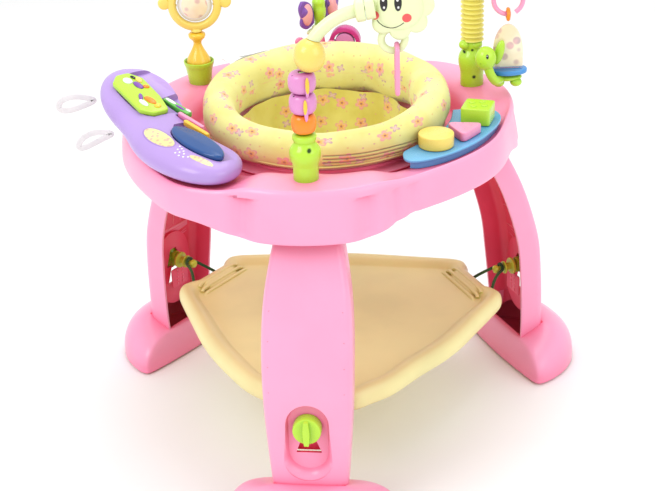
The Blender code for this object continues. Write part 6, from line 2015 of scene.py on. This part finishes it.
# material of each part, in the order the parts are handed over
PART_MATERIALS = {"tray": "pink"}
for key in LEG_AZ:
    PART_MATERIALS.update({"leg_" + key: "pink", "foot_pad_" + key: "rubber"})
for key in LEG_AZ:
    PART_MATERIALS.update({"cord_spool_" + key: "spool", "height_knob_" + key: "lime"})
PART_MATERIALS["bounce_platform"] = "cream"
for key in LEG_AZ:
    PART_MATERIALS["elastic_cord_" + key] = "cord"
PART_MATERIALS.update({
    "seat_ring": "pink_small", "seat_lock_ring": "pink_small", "seat_pad": "pad",
    "seat_sling": "sling", "bead_post": "lime", "bead_orange": "orange",
    "bead_pink_lower": "orchid", "bead_pink_upper": "orchid", "arm_ball": "yellow",
    "curved_arm": "pale", "daisy_body": "pale", "daisy_face": "pale", "daisy_link": "link",
    "spinner_cup": "lime", "spinner_stem": "amber", "spinner_frame": "yellow",
    "spinner_disc": "white", "tube_base": "lime", "bendy_tube": "tube", "tube_cap": "lime",
    "turtle_link": "link", "turtle_shell": "orange", "turtle_rim": "blue",
    "turtle_body": "lime", "block_tray": "sky", "block_round": "yellow",
    "block_triangle": "link", "block_square": "lime", "toy_case": "lavender",
    "key_blue": "navy", "key_orange": "amber", "key_pink": "link", "key_green": "green",
    "picture_panel": "lime", "strap_loop_far": "webbing", "strap_loop_near": "webbing",
    "back_toy_base": "pink_small", "roller_arch": "magenta", "roller": "orchid",
    "butterfly_body": "lime", "butterfly_wing_right": "purple",
    "butterfly_wing_left": "purple"})


# ------------------------------------------------- everything onto its body
def settle(obj, sharp_degrees):
    obj.data.transform(Matrix.Translation(-ROW_ORIGIN))
    obj.matrix_basis = Matrix()
    obj.data.shade_smooth()
    obj.data.set_sharp_from_angle(angle=math.radians(sharp_degrees))


def paint(obj, material):
    obj.data.materials.clear()
    obj.data.materials.append(MATERIALS[material])


for node, material in PART_MATERIALS.items():
    obj = PARTS[node]
    settle(obj, 42)
    obj.name = "look." + node
    paint(obj, material)
    # the faces inside the legs take a second material, the pink in dark red painted shade
    if node in INSIDE:
        obj.data.materials.append(MATERIALS["rib"])
    obj.data.polygons.foreach_set("material_index",
                                  INSIDE.get(node, [0] * len(obj.data.polygons)))
    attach(obj, NODE_BODY[node])
    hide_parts(node)
for obj, body, material in DETAILS:
    if obj.modifiers or obj.matrix_world != Matrix():
        apply_all(obj)
    settle(obj, 40)
    paint(obj, material)
    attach(obj, body)
# cutters and joined pieces go
kept = {obj.name for obj, _, _ in DETAILS}
for obj in list(bpy.data.objects):
    if obj.name.startswith(WORK) and obj.name not in kept:
        bpy.data.objects.remove(obj, do_unlink=True)
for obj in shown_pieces():
    if "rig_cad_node" in obj and obj.name in PART_MATERIALS:
        paint(obj, PART_MATERIALS[obj.name])

# ------------------------------------------------- floor, light and camera
bm = bmesh.new()
bmesh.ops.create_grid(bm, x_segments=2, y_segments=2, size=9.0)
floor = bpy.data.objects.new("floor", to_mesh("floor", bm))
scene.collection.objects.link(floor)
floor.location = (0, 0, -0.0004)
paint_shader = Shader("floor_paint")
cloud = paint_shader.noise(paint_shader.position(), scale=3.0)
paint_shader.put(paint_shader.surface["Base Color"],
                 paint_shader.mix(paint_shader.band(cloud, 0.3, 0.7), (0.93, 0.93, 0.93),
                                  (0.91, 0.91, 0.91)))
paint_shader.surface["Roughness"].default_value = 0.55
paint_shader.surface["Specular IOR Level"].default_value = 0.25
floor.data.materials.append(paint_shader.material)

world = bpy.data.worlds.new("studio")
scene.world = world
world.use_nodes = True
background = world.node_tree.nodes["Background"]
background.inputs["Color"].default_value = (1.0, 1.0, 1.0, 1.0)
background.inputs["Strength"].default_value = 0.92


def area_light(name, place, target, size, power):
    light = bpy.data.lights.new(name, "AREA")
    light.shape = "RECTANGLE"
    light.size, light.size_y = size
    light.energy = power
    obj = bpy.data.objects.new(name, light)
    scene.collection.objects.link(obj)
    obj.location = Vector(place) - ROW_ORIGIN
    direction = Vector(target) - Vector(place)
    obj.rotation_mode = "QUATERNION"
    obj.rotation_quaternion = direction.to_track_quat("-Z", "Y")


area_light("key", place=(-1.5, -1.5, 2.3), target=(0, 0, 0.3), size=(1.3, 1.3), power=26)
area_light("fill", place=(1.9, -1.2, 1.6), target=(0, 0, 0.3), size=(1.5, 1.5), power=12)
area_light("top", place=(0.2, 0.6, 2.4), target=(0, 0, 0.4), size=(1.6, 1.6), power=16)

CAMERA_ELEVATION = math.radians(27.63)
CAMERA_TURN = math.radians(6.97)         # round Z, from the front towards the right
CAMERA_ROLL = math.radians(-2.13)
CAMERA_AIM = Vector((0.0053, 0, 0.2))    # before the turn
CAMERA_DISTANCE = 2.337
back = Vector((0, -math.cos(CAMERA_ELEVATION), math.sin(CAMERA_ELEVATION)))
right = Vector((1, 0, 0))
up = Vector((0, math.sin(CAMERA_ELEVATION), math.cos(CAMERA_ELEVATION)))
turn = Matrix.Rotation(CAMERA_TURN, 3, "Z")
eye = turn @ (CAMERA_AIM + back * CAMERA_DISTANCE)
right, up, back = turn @ right, turn @ up, turn @ back
cosine, sine = math.cos(CAMERA_ROLL), math.sin(CAMERA_ROLL)
right, up = right * cosine + up * sine, up * cosine - right * sine
lens = bpy.data.cameras.new("camera")
lens.sensor_fit = "HORIZONTAL"
lens.sensor_width = 36.0
lens.lens = 85.5810687
lens.shift_x = -0.0134351145
lens.shift_y = 0.0561832061
lens.clip_start, lens.clip_end = 0.1, 40.0
camera = bpy.data.objects.new("camera", lens)
scene.collection.objects.link(camera)
camera.matrix_world = basis_frame(eye - ROW_ORIGIN, right, up, back)
scene.camera = camera
scene.view_settings.view_transform = "Standard"
scene.view_settings.look = "None"
